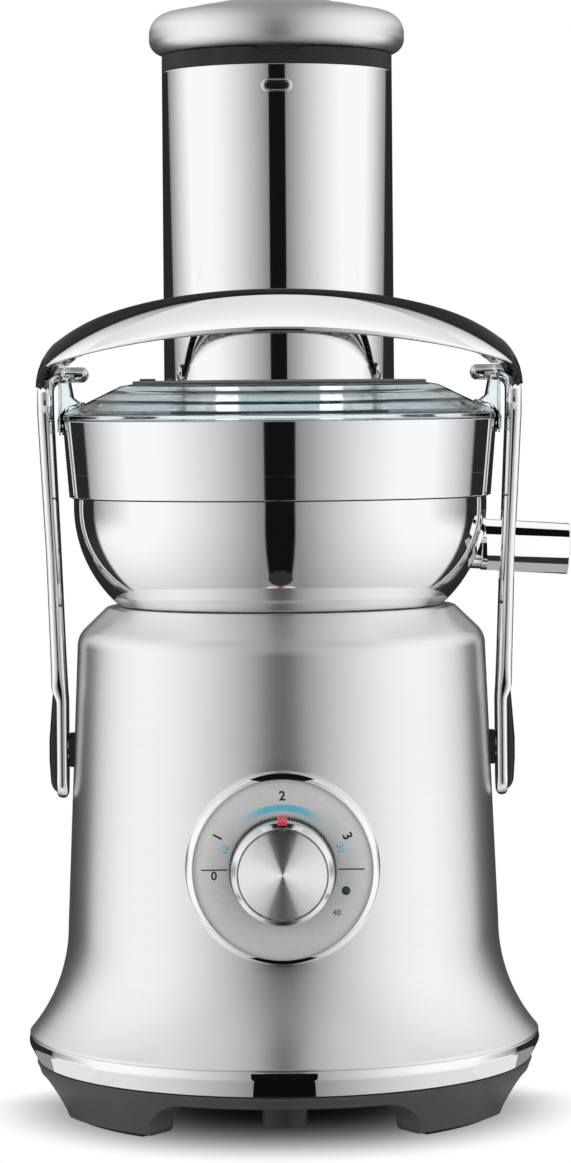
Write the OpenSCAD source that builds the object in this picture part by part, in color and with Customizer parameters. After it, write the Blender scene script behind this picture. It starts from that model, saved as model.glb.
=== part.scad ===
// Centrifugal juicer: a steel motor base with a speed dial, a juice bowl with a side spout,
// a spinning filter basket, a clear cover with a wide feed chute and its food pusher, and a
// locking arm that swings over the cover. The origin is on the spin axis, on the resting
// plane. +Z is up, the dial faces -Y and the spout leaves towards +X. Millimetres.

/* [Base] */
// Height of the plastic base pan, feet included
pan_h = 20.7; // [19:0.1:23]
// Radius of the pan's skirt at its top
pan_top_r = 101; // [99:0.5:102]
// Radius of the pan's skirt at the resting plane
pan_foot_r = 92; // [90:0.5:95]
// Wall of the base pan
pan_wall = 2.8; // [2.2:0.1:3.2]
// Height of the rubber foot pads
pad_h = 2; // [1.5:0.1:3]
// Angle that one foot spans around the pan
foot_span = 29; // [25:1:32]
// Angle between the front of the juicer and the middle of a front foot
foot_angle = 50.5; // [48:0.5:53]
// Radius of the rounded corners of the arches between the feet
arch_r = 14; // [11:0.5:14]
// Height of the chrome base ring
ring_h = 10.7; // [9:0.1:13]
// How far the base ring stands out beyond the pan
ring_proud = 4.6; // [4.3:0.1:6]
// Radius of the cord inlet's hole
cord_r = 3.6; // [3:0.1:4]

/* [Motor housing] */
// Height of the steel housing
housing_h = 175.6; // [172:0.1:182]
// How far the housing's side under the shoulder lies inside the bowl's side
waist_inset = 1.1; // [0.5:0.1:1.5]
// How far the housing widens from there down to its flare
taper = 4.6; // [4:0.1:5]
// How far the housing's lower lip lies inside the ring's edge
lip_inset = 0.4; // [0.3:0.1:0.8]
// Radius of the rounded shoulder
shoulder_r = 22; // [19:0.5:24]
// Height of the flare above the base ring
flare_h = 44.6; // [43:0.1:46]
// Thickness of the housing's steel
housing_wall = 1.2; // [1:0.1:1.6]
// How far the top deck's plate reaches under the edge of the housing's top opening
deck_lap = 8.4; // [7.4:0.1:10]
// Height of the dial's centre above the base ring
dial_h = 77; // [75:0.5:80]
// Height of the locking arm's pivot above the base ring
pivot_h = 116.2; // [114:0.1:118]

/* [Dial] */
// Outer radius of the chrome bezel
bezel_r = 37.8; // [36.5:0.1:39]
// Width of the bezel's rim
bezel_wall = 2.6; // [2:0.1:3.2]
// Distance from the housing's skin to the front of the dial plate
plate_stand = 4.77; // [4.5:0.01:6]
// How far the bezel stands in front of the plate
bezel_proud = 1.6; // [1:0.1:2.5]
// Outer radius of the knob
knob_r = 20.9; // [19.5:0.1:22]
// Radius of the knob's brushed front disc
knob_face_r = 17.2; // [16:0.1:18]
// Depth of the knob
knob_depth = 19; // [17:0.5:22]
// Radius of the selector's shaft
selector_r = 3; // [2.5:0.1:3.5]

/* [Bowl] */
// Height of the curved lower part of the bowl
bowl_h = 45.4; // [44:0.1:47]
// Radius of the lower part at its top
bowl_r = 85.5; // [85:0.1:86]
// Radius of the bowl's curved side
bowl_curve_r = 54.9; // [52:0.1:58]
// Height of the upper band
band_h = 31.6; // [30:0.1:34]
// How far the upper band steps out from the lower part
band_step = 1.8; // [1.5:0.1:2.3]
// How far the band widens up to the bowl's rim
rim_flare = 2.6; // [2.3:0.1:2.8]
// Thickness of the bowl's steel
bowl_wall = 1.2; // [1:0.1:1.4]
// Radius of the well around the drive coupling
well_r = 22; // [21:0.5:24]
// Thickness of the plastic bowl liner
liner_wall = 2; // [1.6:0.1:2.4]
// Outer radius of the juice spout
spout_r = 10.7; // [10:0.1:11.2]
// Wall of the juice spout
spout_wall = 1.2; // [1:0.1:1.6]
// Distance from the spin axis to the end of the spout
spout_reach = 121; // [115:0.5:130]
// Distance of the spout's axis behind the spin axis
spout_back = 22; // [20:0.5:24]
// Downward slope of the spout, in degrees
spout_slope = 3.4; // [2.5:0.1:4.5]
// Height of the spout's axis above the bowl's foot, at the bowl's wall
spout_h = 25.4; // [24.5:0.1:26.5]

/* [Filter basket] */
// How far the grating disc reaches past the inside of the chute
grating_lap = 2; // [1:0.5:3]
// Number of teeth on the grating disc
teeth = 24; // [16:2:32]
// Distance between the filter cone's top and the bowl's side
basket_gap = 9.5; // [8.5:0.5:11]
// Height of the filter cone
basket_h = 47; // [45:0.5:48]
// Height of the grating disc above the bowl's foot
basket_floor_h = 21.5; // [21:0.1:22.5]

/* [Cover and chute] */
// Height of the cover above the bowl's rim
cover_h = 15; // [14:0.1:17]
// Wall of the clear cover
cover_wall = 2.5; // [2:0.1:2.8]
// Width of the collar plate around the chute
collar_w = 13.3; // [11:0.1:15]
// Wall of the chute's clear liner
chute_wall = 2.9; // [2.4:0.1:3.4]
// Thickness of the sleeve
sleeve_wall = 0.8; // [0.6:0.1:1]
// Inside radius of the feed chute
chute_r = 44; // [43.5:0.1:44.3]
// Height of the sleeve above the cover
sleeve_h = 128.7; // [120:0.5:140]
// Height of the chute's plastic top collar
top_collar_h = 7.3; // [6:0.1:10]
// Half width of the pulp hood behind the cover
hood_w = 52; // [48:1:56]
// Distance from the spin axis to the back of the pulp hood
hood_reach = 128; // [120:1:135]

/* [Pusher] */
// Radial clearance of the pusher in the chute
pusher_gap = 0.6; // [0.4:0.1:0.9]
// Length of the pusher below its cap
pusher_len = 147; // [135:1:150]
// Wall of the pusher
pusher_wall = 3; // [2.6:0.1:3.4]
// How far the cap reaches past the inside of the chute
cap_lap = 8.9; // [7.5:0.1:11]
// Height of the cap
cap_h = 21.7; // [20:0.1:24]
// Radius of the cap's rounded edge
cap_edge_r = 8; // [7:0.1:9]
// Width of the key that guides the pusher
key_w = 10.4; // [9:0.1:12]
// Height of the key
key_h = 4; // [3.5:0.1:5]

/* [Locking arm] */
// Distance from the bowl's rim to the middle of the strap beside it
arm_gap = 7; // [6.6:0.1:8]
// Distance from the housing's skin to the strap at its pivot
strap_stand = 2.6; // [2.3:0.1:3.5]
// How far the crown stands in front of the pivot, to its middle
crown_reach = 62; // [61:0.5:66]
// Height of the crown's underside above the pins, at its middle
crown_rise = 16.1; // [14:0.1:20]
// Height of the chrome face at the crown's middle
face_h = 15.6; // [14:0.1:18]
// Height of the black grip at the crown's middle
grip_h = 2; // [1.5:0.1:4]
// Depth of the crown at its middle
crown_depth = 14; // [12:0.5:15]
// Width of the straps, front to back
strap_w = 16; // [14:0.5:18]
// Radius of the locking pins
pin_r = 3.26; // [3:0.02:3.6]
// Height of the pins' axis above the bowl's rim
pin_h = 19; // [18.5:0.1:20]
// Radius of the pivot pins
pivot_r = 4; // [3.5:0.1:4.5]
// Radius of the black bosses at the pivots
boss_r = 7.2; // [6.8:0.1:8]

/* [Motor] */
// Radius of the motor shaft
shaft_r = 5; // [4:0.1:6]
// Outer radius of the stator
stator_r = 46; // [44:0.5:46]
// Bore radius of the stator
stator_bore_r = 27; // [25:0.5:29]
// Height of the stator's iron core
stator_h = 60; // [52:1:62]
// Radius of the cooling fan
fan_r = 40; // [36:0.5:42]
// Number of fan blades
fan_blades = 12; // [8:1:16]
// Height of the motor's end cap above the base ring
cap_plate_h = 13; // [12.5:0.5:15]

/* [Fits] */
// Radial clearance of a shaft that turns in its bore
running = 0.05; // [0.03:0.01:0.08]
// Gap between pieces that move past each other
gap = 0.3; // [0.3:0.05:0.5]

/* [Hidden] */
$fn = 96;

// Levels of the stack, from the resting plane up
ring_z = pan_h;
housing_z = ring_z + ring_h;
deck_z = housing_z + housing_h;
step_z = deck_z + bowl_h;
rim_z = step_z + band_h;
cover_z = rim_z + cover_h;
collar_z = cover_z + sleeve_h;
chute_top_z = collar_z + top_collar_h;
cap_z = chute_top_z + gap;

// Housing
flare_z = housing_z + flare_h;
shoulder_z = deck_z - shoulder_r;
dial_z = housing_z + dial_h;
pivot_z = housing_z + pivot_h;
waist_r = bowl_r - waist_inset;
flare_top_r = waist_r + taper;
ring_r = pan_top_r + ring_proud;
lip_r = ring_r - lip_inset;
base_screw_ring = pan_foot_r - 5.5;
flange_r = base_screw_ring - 4.5;
flare_w = lip_r - flare_top_r + 0.57;
flare_r = (flare_w * flare_w + flare_h * flare_h) / (2 * flare_w);
deep = 400;

// Radius of the housing's skin at the height z of its conical side
function skin_at(z) = waist_r + (flare_top_r - waist_r) * (shoulder_z - z) / (shoulder_z - flare_z);

// Base
arch_z = 15.8;
dish_r = pan_foot_r - 12;
dish_drop = 3;
pan_floor_z = arch_z + pan_wall - 0.6;
base_screw_r = 1.8;
foot_angles = [-90 - foot_angle, -90 + foot_angle, 90 - foot_angle, 90 + foot_angle];
gland_z = housing_z + 26;
gland_r = 6.5;

// Top deck and motor, from the top down
deck_plate_t = 2.8;
deck_top_z = deck_z - housing_wall;
deck_under_z = deck_top_z - deck_plate_t;
stud_r = 2;
deck_plate_r = waist_r - shoulder_r;
deck_hole_r = deck_plate_r - deck_lap;
stud_ring = deck_plate_r - 4;
stud_angles = [0, 90, 180, 270];
nut_h = 3.2;
post_ring = 48;
post_angles = [45, 135, 225, 315];
grommet_h = 4;
plate_t = 4;
plate_lap = 6;
bearing_wall = 3;
bearing_seat = 1;
bearing_lift = 6;
bearing_cup_h = 7;
shaft_room = 2;
air_ring = 34;
air_hole_r = 9;
bracket_z = deck_z - 31;
post_r = 5;
motor_screw_r = 1.75;
bolt_ring = 50.5;
bolt_r = 2.2;
bearing_h = 10;
bearing_r = 11;
end_cap_z = housing_z + cap_plate_h;
fan_z = end_cap_z + plate_t + 9;
fan_plate_t = 1.6;
fan_hub_wall = 4;
fan_hub_h = 11;
blade_t = 1.2;
blade_h = 9;
blade_foot = 1;
stator_z = fan_z + 23;
stator_top_z = stator_z + stator_h;
winding_h = 10;
air_gap = 0.7;
commutator_r = 13;
commutator_z = stator_top_z + winding_h + 3;
commutator_h = 14;
brush_w = 9;
brush_t = 7;
brush_z = commutator_z + commutator_h / 2;
brush_back = 27;
holder_in = 17;
holder_out = 37;
holder_wall = 1.5;
spring_r = 2.4;
spring_wire_r = 0.5;

// Control board
board_w = 76;
board_d = 54;
board_t = 1.6;
board_z = housing_z - 4;
board_post_x = 33;
board_post_y = 22;
board_screw_r = 1.5;

// Dial
plate_y = skin_at(dial_z) + plate_stand;
bush_r = 5;
selector_back = bolt_ring + 11.5;
selector_front = plate_y - 12.4;
selector_w = 28;
bush_front = plate_y + 3;
plate_t_dial = 1.5;
nut_af_r = 7;
grip_ring_t = 2.6;
knob_back = plate_y + 0.5;
knob_y = knob_back + grip_ring_t;
knob_front = knob_back + knob_depth;
knob_wall = 2.4;
marker_w = 3.6;
marker_h = 4.2;
knurls = 60;
lens_r = 1.7;
lens_x = 24.7;
lens_drop = 8.4;

// Bowl, liner and basket
band_foot_r = bowl_r + band_step;
rim_r = band_foot_r + rim_flare;
grating_r = chute_r + grating_lap;
basket_rim_r = bowl_r - basket_gap;
curve_x = bowl_r - bowl_curve_r;
curve_z = step_z - 3.8;
liner_floor_z = deck_z + 12.5;
liner_top_z = rim_z - 5.5;
liner_flange_t = 2.5;
pulp_gap_w = hood_w - 8;
pulp_gap_z = rim_z - 22;
spout_z = deck_z + spout_h;
spout_root = bowl_r - 11.5;
spout_neck = bowl_r - 1;
spout_neck_r = spout_r - 0.4;
grating_z = deck_z + basket_floor_h;
basket_floor_t = 2.4;
cone_foot_r = grating_r + 1;
cone_z = grating_z + 1;
cone_top_z = cone_z + basket_h;
mesh_t = 0.7;
coupling_r = 15;
coupling_z = deck_z + 5;
coupling_h = 11;
hub_r = 19;
seal_z = deck_under_z;

// Cover, chute and pusher
liner_r = chute_r + chute_wall;
sleeve_r = liner_r + sleeve_wall;
collar_r = sleeve_r + collar_w;
cap_r = chute_r + cap_lap;
collar_t = 1.2;
cone_edge_r = rim_r - 2.9;
hood_h = 39;
hood_top_z = rim_z + 7;
hood_wall = 2.5;
chute_end_z = grating_z + 7.5;
key_z = collar_z - 8.9;
key_in = chute_r - 1.6;
pusher_r = chute_r - pusher_gap;
pusher_seat = 1.7;
pusher_z = cap_z + pusher_seat - pusher_len;
cap_dome_r = 25;

// Arm
pin_z = rim_z + pin_h;
pin_reach = pin_z - pivot_z;
arm_half_w = rim_r + arm_gap;
pin_tip = arm_half_w - 17.9;
strap_t = 6.5;
strap_in = skin_at(pivot_z) + strap_stand;
strap_mid = strap_in + 4.5;
strap_out = strap_in + 7.9;
strap_top_z = pin_z + 5;
paddle_z = pivot_z - 19.9;
paddle_r = 10;
insert_z = pivot_z - 17.6;
insert_top_z = pivot_z + 24.4;
boss_out = strap_in - gap;
pin_back = strap_in - 12.6;
ear_out = rim_r + 1.5;
ear_in = ear_out - 5;
ear_w = 22;
crown_bottom_z = pin_z + crown_rise;
crown_drop = 13;
split_drop = 41;
over_drop = 6;
crown_end_a = acos(strap_w / 2 / crown_reach);
face_end_a = 70;
face_angles = [for (a = [-face_end_a:5:face_end_a]) a];

// ---------------------------------------------------------------- shared shapes

// Outline of the housing, drawn in by the distance d
module housing_region(d) {
    polygon([[0, flare_z], [flare_top_r - d, flare_z], [waist_r - d, shoulder_z], [0, shoulder_z]]);
    intersection() {
        translate([waist_r - shoulder_r, shoulder_z]) circle(r = shoulder_r - d);
        translate([0, shoulder_z]) square([waist_r, shoulder_r]);
    }
    translate([0, shoulder_z]) square([waist_r - shoulder_r, shoulder_r - d]);
    difference() {
        translate([0, housing_z]) square([lip_r - d, flare_h]);
        translate([flare_top_r + flare_r, flare_z]) circle(r = flare_r + d);
    }
}

// The housing as one filled solid, for pieces that fit against its skin
module housing_solid(d = 0) {
    rotate_extrude() housing_region(d);
}

// Outline of the lower bowl, drawn in by the distance d
module bowl_region(d) {
    intersection() {
        translate([curve_x, curve_z]) circle(r = bowl_curve_r - d);
        translate([0, deck_z + d]) square([bowl_r, curve_z - deck_z - d]);
    }
    translate([0, curve_z]) square([bowl_r - d, step_z - curve_z]);
}

// Radius of the band's inner face at the height z
function band_in(z) = band_foot_r - bowl_wall
    + (rim_r - band_foot_r) * (z - step_z - bowl_wall) / (band_h - bowl_wall);

// Places a piece on the dial's axis, its own z pointing forwards from the distance y
module on_dial(y) {
    translate([0, -y, dial_z]) rotate([90, 0, 0]) children();
}

// The knob's outer form, closed and solid
module knob_form() {
    rotate_extrude()
        polygon([[0, 0], [knob_r, 0], [knob_r, 3], [knob_r - 1.2, knob_front - knob_y - 3.5],
                 [knob_face_r, knob_front - knob_y], [0, knob_front - knob_y]]);
}

// The cut in the knob that holds the red marker
module marker_slot() {
    translate([-marker_w / 2, knob_r - marker_h, knob_front - knob_y - 8])
        cube([marker_w, marker_h + 1, 8.1]);
}

// The obround key outline
module key_outline() {
    for (s = [-1, 1]) translate([s * (key_w - key_h) / 2, 0]) circle(d = key_h);
    square([key_w - key_h, key_h], center = true);
}

// A key-shaped bar along -Y, from the distance y0 to y1
module key_bar(y0, y1) {
    translate([0, -y0, key_z]) rotate([90, 0, 0]) linear_extrude(y1 - y0) key_outline();
}

// The spout's axis: a bar of radius r from the distance x0 to the end
module spout_bar(r, x0, x1) {
    translate([bowl_r, spout_back, spout_z]) rotate([0, 90 + spout_slope, 0])
        translate([0, 0, x0 - bowl_r]) cylinder(r = r, h = x1 - x0);
}

// The space through which pulp leaves at the back
module pulp_window() {
    translate([-pulp_gap_w, 40, pulp_gap_z]) cube([2 * pulp_gap_w, deep, rim_z - pulp_gap_z + 1]);
}

// A tube swept along a list of points: ring(i) gives the points of ring number i
module loft(rings) {
    n = len(rings[0]);
    last = (len(rings) - 1) * n;
    sides = [for (i = [0:len(rings) - 2], j = [0:n - 1])
        [i * n + j, i * n + (j + 1) % n, (i + 1) * n + (j + 1) % n, (i + 1) * n + j]];
    quads = [for (q = sides) each [[q[0], q[1], q[2]], [q[0], q[2], q[3]]]];
    first = [for (j = [1:n - 2]) [0, j + 1, j]];
    end = [for (j = [1:n - 2]) [last, last + j, last + j + 1]];
    polyhedron(points = [for (r = rings) each r], faces = concat(quads, first, end));
}

// ---------------------------------------------------------------- base

module housing_shell() {
    color([0.74, 0.75, 0.76]) {
        difference() {
            rotate_extrude() difference() {
                housing_region(0);
                difference() {
                    housing_region(housing_wall);
                    translate([flange_r, housing_z]) square([lip_r, housing_wall]);
                }
                square([flange_r, housing_z + housing_wall]);
                translate([0, shoulder_z]) square([deck_hole_r, 2 * shoulder_r]);
            }
            on_dial(0) cylinder(r = bush_r + 0.1, h = deep);
            for (s = [-1, 1]) translate([0, 0, pivot_z]) rotate([0, s * 90, 0])
                cylinder(r = boss_r - 1.2, h = deep);
            translate([0, 0, gland_z]) rotate([-90, 0, 0]) cylinder(r = gland_r, h = deep);
            for (a = foot_angles) rotate(a) translate([base_screw_ring, 0, 0])
                cylinder(r = base_screw_r, h = housing_z + 2 * housing_wall);
        }
        for (a = stud_angles) rotate(a) translate([stud_ring, 0, deck_under_z - nut_h - 1])
            cylinder(r = stud_r, h = deck_plate_t + nut_h + 1);
    }
}

module base_ring() {
    color([0.86, 0.87, 0.88]) difference() {
        rotate_extrude()
            polygon([[pan_top_r + 0.5, ring_z], [ring_r, ring_z + 0.68 * ring_h], [lip_r, housing_z],
                     [flange_r, housing_z], [flange_r, housing_z - 2], [pan_top_r, housing_z - 2],
                     [pan_top_r, ring_z + 6], [pan_top_r - 2, ring_z]]);
        for (a = foot_angles) rotate(a) translate([base_screw_ring, 0, ring_z])
            cylinder(r = base_screw_r, h = ring_h + 1);
    }
}

// The opening between two feet, half_w wide to each side of -Y
module arch(half_w) {
    translate([0, 0, -1]) rotate([90, 0, 0]) linear_extrude(deep / 2) {
        translate([-(half_w - arch_r), 0]) square([2 * (half_w - arch_r), arch_z + 1]);
        for (s = [-1, 1]) translate([s * (half_w - arch_r), arch_z + 1 - arch_r]) {
            circle(r = arch_r);
            translate([-arch_r, -2 * arch_r]) square([2 * arch_r, 2 * arch_r]);
        }
    }
}

module base_pan() {
    front_half = pan_foot_r * sin(foot_angle - foot_span / 2);
    side_half = pan_foot_r * cos(foot_angle + foot_span / 2);
    slope = (pan_top_r - pan_foot_r) / pan_h;
    color([0.27, 0.27, 0.28]) {
        difference() {
            rotate_extrude() difference() {
                polygon([[0, arch_z - dish_drop - 0.8], [dish_r, arch_z - 0.8], [dish_r, pad_h],
                         [pan_foot_r + slope * pad_h, pad_h], [pan_top_r, pan_h], [0, pan_h]]);
                polygon([[0, arch_z - dish_drop + pan_wall - 0.8], [dish_r, pan_floor_z],
                         [pan_top_r - pan_wall - 1, pan_floor_z],
                         [pan_top_r - pan_wall, pan_h + 1], [0, pan_h + 1]]);
            }
            difference() {
                for (a = [0, 180]) rotate(a) arch(front_half);
                cylinder(r = dish_r, h = deep);
            }
            difference() {
                for (a = [90, 270]) rotate(a) arch(side_half);
                cylinder(r = dish_r, h = deep);
            }
            for (a = foot_angles) rotate(a) translate([base_screw_ring, 0, 0]) {
                cylinder(r = base_screw_r, h = deep);
                cylinder(r = 2 * base_screw_r, h = ring_z - 7);
            }
        }
        // bosses for the base screws
        for (a = foot_angles) rotate(a) translate([base_screw_ring, 0, pan_floor_z - 0.5])
            difference() {
                cylinder(r = 4, h = housing_z - 2 - pan_floor_z + 0.5);
                cylinder(r = base_screw_r, h = deep);
            }
        // posts for the control board
        for (x = [-1, 1], y = [-1, 1])
            translate([x * board_post_x, y * board_post_y, arch_z - dish_drop])
                difference() {
                    cylinder(r = 4, h = board_z - arch_z + dish_drop);
                    translate([0, 0, 4]) cylinder(r = board_screw_r, h = deep);
                }
        // round nub under the front
        translate([0, -60, 3]) difference() {
            cylinder(r = 9, h = arch_z - 4);
            translate([0, 0, -1]) cylinder(r = 4, h = 6);
        }
    }
}

module foot_pads() {
    color([0.12, 0.12, 0.13])
        for (a = foot_angles)
            rotate(a - foot_span / 2 + 3) rotate_extrude(angle = foot_span - 6)
                translate([dish_r + 1, 0]) square([pan_foot_r - dish_r - 2, pad_h]);
}

module cord_gland() {
    skin = flare_top_r + 3;
    color([0.1, 0.1, 0.1]) translate([0, 0, gland_z]) rotate([-90, 0, 0]) difference() {
        union() {
            translate([0, 0, skin - 12]) cylinder(r = gland_r, h = 16);
            difference() {
                translate([0, 0, skin - 6]) cylinder(r = gland_r + 3, h = 11);
                rotate([90, 0, 0]) translate([0, 0, -gland_z]) housing_solid();
            }
            translate([0, 0, skin + 4.9]) cylinder(r1 = gland_r + 1, r2 = cord_r + 1.6, h = 8);
        }
        translate([0, 0, skin - 6]) cylinder(r = cord_r, h = 30);
    }
}

module base_screws() {
    color("silver") for (a = foot_angles) rotate(a)
        translate([base_screw_ring, 0, ring_z - 7]) {
            cylinder(r = base_screw_r, h = housing_z - ring_z + 8);
            translate([0, 0, -2]) cylinder(r = 2 * base_screw_r - 0.2, h = 2);
        }
}

// ---------------------------------------------------------------- motor

module top_deck() {
    color([0.2, 0.2, 0.21]) difference() {
        union() {
            translate([0, 0, deck_under_z])
                cylinder(r = deck_plate_r, h = deck_plate_t);
            translate([0, 0, deck_top_z - 0.1]) cylinder(r = deck_hole_r - 0.1, h = housing_wall + 0.1);
            for (a = post_angles) rotate(a)
                translate([post_ring, 0, bracket_z + plate_t + grommet_h])
                    cylinder(r = post_r, h = deck_under_z - bracket_z - plate_t - grommet_h + 0.1);
        }
        translate([0, 0, deck_under_z - 1]) cylinder(r = hub_r - 5, h = deep);
        for (a = post_angles) rotate(a) translate([post_ring, 0, bracket_z])
            cylinder(r = motor_screw_r, h = 22);
        for (a = stud_angles) rotate(a) translate([stud_ring, 0, deck_under_z - 1])
            cylinder(r = stud_r + 0.1, h = deep);
    }
}

module deck_nuts() {
    color("silver") for (a = stud_angles) rotate(a)
        translate([stud_ring, 0, deck_under_z - nut_h]) difference() {
            cylinder(r = 2 * stud_r, h = nut_h, $fn = 6);
            translate([0, 0, -1]) cylinder(r = stud_r, h = nut_h + 2);
        }
}

module motor_bracket() {
    color([0.7, 0.71, 0.73]) difference() {
        union() {
            translate([0, 0, bracket_z]) cylinder(r = bolt_ring + plate_lap, h = plate_t);
            translate([0, 0, bracket_z - bearing_h + plate_t])
                cylinder(r = bearing_r + bearing_wall, h = bearing_h + bearing_seat);
            for (a = stud_angles) rotate(a) translate([bolt_ring, 0, stator_top_z])
                cylinder(r = post_r, h = bracket_z - stator_top_z + 0.1);
        }
        translate([0, 0, bracket_z - bearing_h + bearing_lift]) cylinder(r = bearing_r, h = deep);
        translate([0, 0, bracket_z - bearing_h]) cylinder(r = shaft_r + shaft_room, h = deep);
        for (a = post_angles) rotate(a) translate([post_ring, 0, bracket_z - 1])
            cylinder(r = motor_screw_r + 0.2, h = plate_t + 2);
        for (a = stud_angles) rotate(a) translate([bolt_ring, 0, stator_top_z - 1])
            cylinder(r = bolt_r, h = deep);
    }
}

module motor_grommets() {
    color([0.15, 0.15, 0.15]) for (a = post_angles) rotate(a)
        translate([post_ring, 0, bracket_z + plate_t]) difference() {
            cylinder(r = post_r + 1.5, h = grommet_h);
            translate([0, 0, -1]) cylinder(r = motor_screw_r + 0.2, h = grommet_h + 2);
        }
}

module motor_screws() {
    color("silver") for (a = post_angles) rotate(a) translate([post_ring, 0, bracket_z]) {
        cylinder(r = motor_screw_r, h = 21);
        translate([0, 0, -2]) cylinder(r = 2 * motor_screw_r, h = 2);
    }
}

module stator_core() {
    color([0.45, 0.45, 0.47]) translate([0, 0, stator_z]) difference() {
        union() {
            cylinder(r = stator_r, h = stator_h);
            for (a = stud_angles) rotate(a) translate([bolt_ring, 0, 0])
                cylinder(r = post_r + 0.5, h = stator_h);
        }
        translate([0, 0, -1]) cylinder(r = stator_bore_r, h = stator_h + 2);
        for (a = stud_angles) rotate(a) translate([bolt_ring, 0, -1])
            cylinder(r = bolt_r, h = stator_h + 2);
    }
}

module stator_windings() {
    color([0.72, 0.43, 0.2]) for (z = [stator_z - winding_h, stator_top_z])
        translate([0, 0, z]) difference() {
            cylinder(r = stator_r - 4, h = winding_h);
            translate([0, 0, -1]) cylinder(r = stator_bore_r + 3, h = winding_h + 2);
        }
}

module motor_end_cap() {
    color([0.7, 0.71, 0.73]) difference() {
        union() {
            translate([0, 0, end_cap_z]) cylinder(r = bolt_ring + plate_lap, h = plate_t);
            translate([0, 0, end_cap_z]) cylinder(r = bearing_r + bearing_wall, h = bearing_cup_h);
            for (a = stud_angles) rotate(a) translate([bolt_ring, 0, end_cap_z])
                cylinder(r = post_r, h = stator_z - end_cap_z);
        }
        translate([0, 0, end_cap_z + bearing_seat]) cylinder(r = bearing_r, h = deep);
        for (a = stud_angles) rotate(a) translate([bolt_ring, 0, end_cap_z - 1])
            cylinder(r = bolt_r, h = deep);
        for (a = post_angles) rotate(a) translate([air_ring, 0, end_cap_z - 1])
            cylinder(r = air_hole_r, h = plate_t + 2);
    }
}

module motor_bolts() {
    color("silver") for (a = stud_angles) rotate(a) translate([bolt_ring, 0, 0]) {
        translate([0, 0, end_cap_z - 2.5]) cylinder(r = 2 * bolt_r, h = 2.5);
        translate([0, 0, end_cap_z - 1]) cylinder(r = bolt_r, h = bracket_z + plate_t - end_cap_z + 3);
        translate([0, 0, bracket_z + plate_t]) cylinder(r = 2 * bolt_r, h = 2.5, $fn = 6);
    }
}

module brush_holders() {
    color([0.6, 0.5, 0.3]) for (s = [0, 180]) rotate(s) difference() {
        union() {
            translate([holder_in, -brush_w / 2 - holder_wall, brush_z - brush_t / 2 - holder_wall])
                cube([holder_out - holder_in, brush_w + 2 * holder_wall, brush_t + 2 * holder_wall]);
            translate([holder_out - 6, -3, brush_z]) cube([6, 6, bracket_z - brush_z]);
        }
        translate([holder_in - 1, -brush_w / 2, brush_z - brush_t / 2])
            cube([holder_out - holder_in - holder_wall + 1, brush_w, brush_t]);
    }
}

module carbon_brushes() {
    color([0.1, 0.1, 0.1]) for (s = [0, 180]) rotate(s)
        translate([commutator_r + gap, 0.05 - brush_w / 2, brush_z - brush_t / 2 + 0.05])
            cube([brush_back - commutator_r - gap, brush_w - 0.1, brush_t - 0.1]);
}

module brush_springs() {
    turns = 4;
    per_turn = 10;
    length = holder_out - holder_wall - brush_back - 2 * spring_wire_r;
    color("silver") for (s = [0, 180]) rotate(s)
        translate([brush_back + spring_wire_r, 0, brush_z]) rotate([0, 90, 0])
            loft([for (i = [0:turns * per_turn])
                let (a = 360 * i / per_turn, z = length * i / (turns * per_turn))
                [for (k = [0:5])
                    let (r = spring_r + spring_wire_r * cos(60 * k))
                    [r * cos(a), r * sin(a), z + spring_wire_r * sin(60 * k)]]]);
}

module bearing(z) {
    translate([0, 0, z]) difference() {
        cylinder(r = bearing_r, h = bearing_h - 2);
        translate([0, 0, -1]) cylinder(r = shaft_r + running, h = bearing_h);
    }
}

module upper_bearing() {
    color("silver") bearing(bracket_z - bearing_h + bearing_lift);
}

module lower_bearing() {
    color("silver") bearing(end_cap_z + bearing_seat);
}

module rotor_core() {
    color([0.5, 0.5, 0.52]) translate([0, 0, stator_z]) difference() {
        cylinder(r = stator_bore_r - air_gap, h = stator_h);
        translate([0, 0, -1]) cylinder(r = shaft_r, h = stator_h + 2);
    }
}

module rotor_windings() {
    color([0.72, 0.43, 0.2]) for (z = [stator_z - winding_h + 2, stator_top_z])
        translate([0, 0, z]) difference() {
            cylinder(r = stator_bore_r - 5, h = winding_h - 2);
            translate([0, 0, -1]) cylinder(r = shaft_r, h = winding_h);
        }
}

module commutator() {
    bars = 12;
    color([0.75, 0.45, 0.22]) translate([0, 0, commutator_z]) difference() {
        cylinder(r = commutator_r, h = commutator_h);
        translate([0, 0, -1]) cylinder(r = shaft_r, h = commutator_h + 2);
        for (i = [0:bars - 1]) rotate(360 * i / bars) translate([commutator_r - 1, -0.3, -1])
            cube([2, 0.6, commutator_h + 2]);
    }
}

module motor_shaft() {
    color([0.8, 0.8, 0.82]) translate([0, 0, end_cap_z + bearing_seat + gap])
        cylinder(r = shaft_r, h = coupling_z + coupling_h - 3 - end_cap_z - bearing_seat - gap);
}

module cooling_fan() {
    color([0.85, 0.85, 0.8]) translate([0, 0, fan_z]) difference() {
        union() {
            cylinder(r = fan_r, h = fan_plate_t);
            cylinder(r = shaft_r + fan_hub_wall, h = fan_hub_h);
            for (i = [0:fan_blades - 1]) rotate(360 * i / fan_blades)
                translate([fan_r * 0.45, -blade_t / 2, blade_foot]) rotate(25)
                    cube([fan_r * 0.5, blade_t, blade_h]);
        }
        translate([0, 0, -1]) cylinder(r = shaft_r, h = fan_hub_h + 3);
    }
}

module drive_coupling() {
    color([0.15, 0.15, 0.16]) translate([0, 0, coupling_z]) difference() {
        cylinder(r = coupling_r, h = coupling_h, $fn = 6);
        translate([0, 0, -1]) cylinder(r = shaft_r, h = coupling_h - 2);
    }
}

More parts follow.
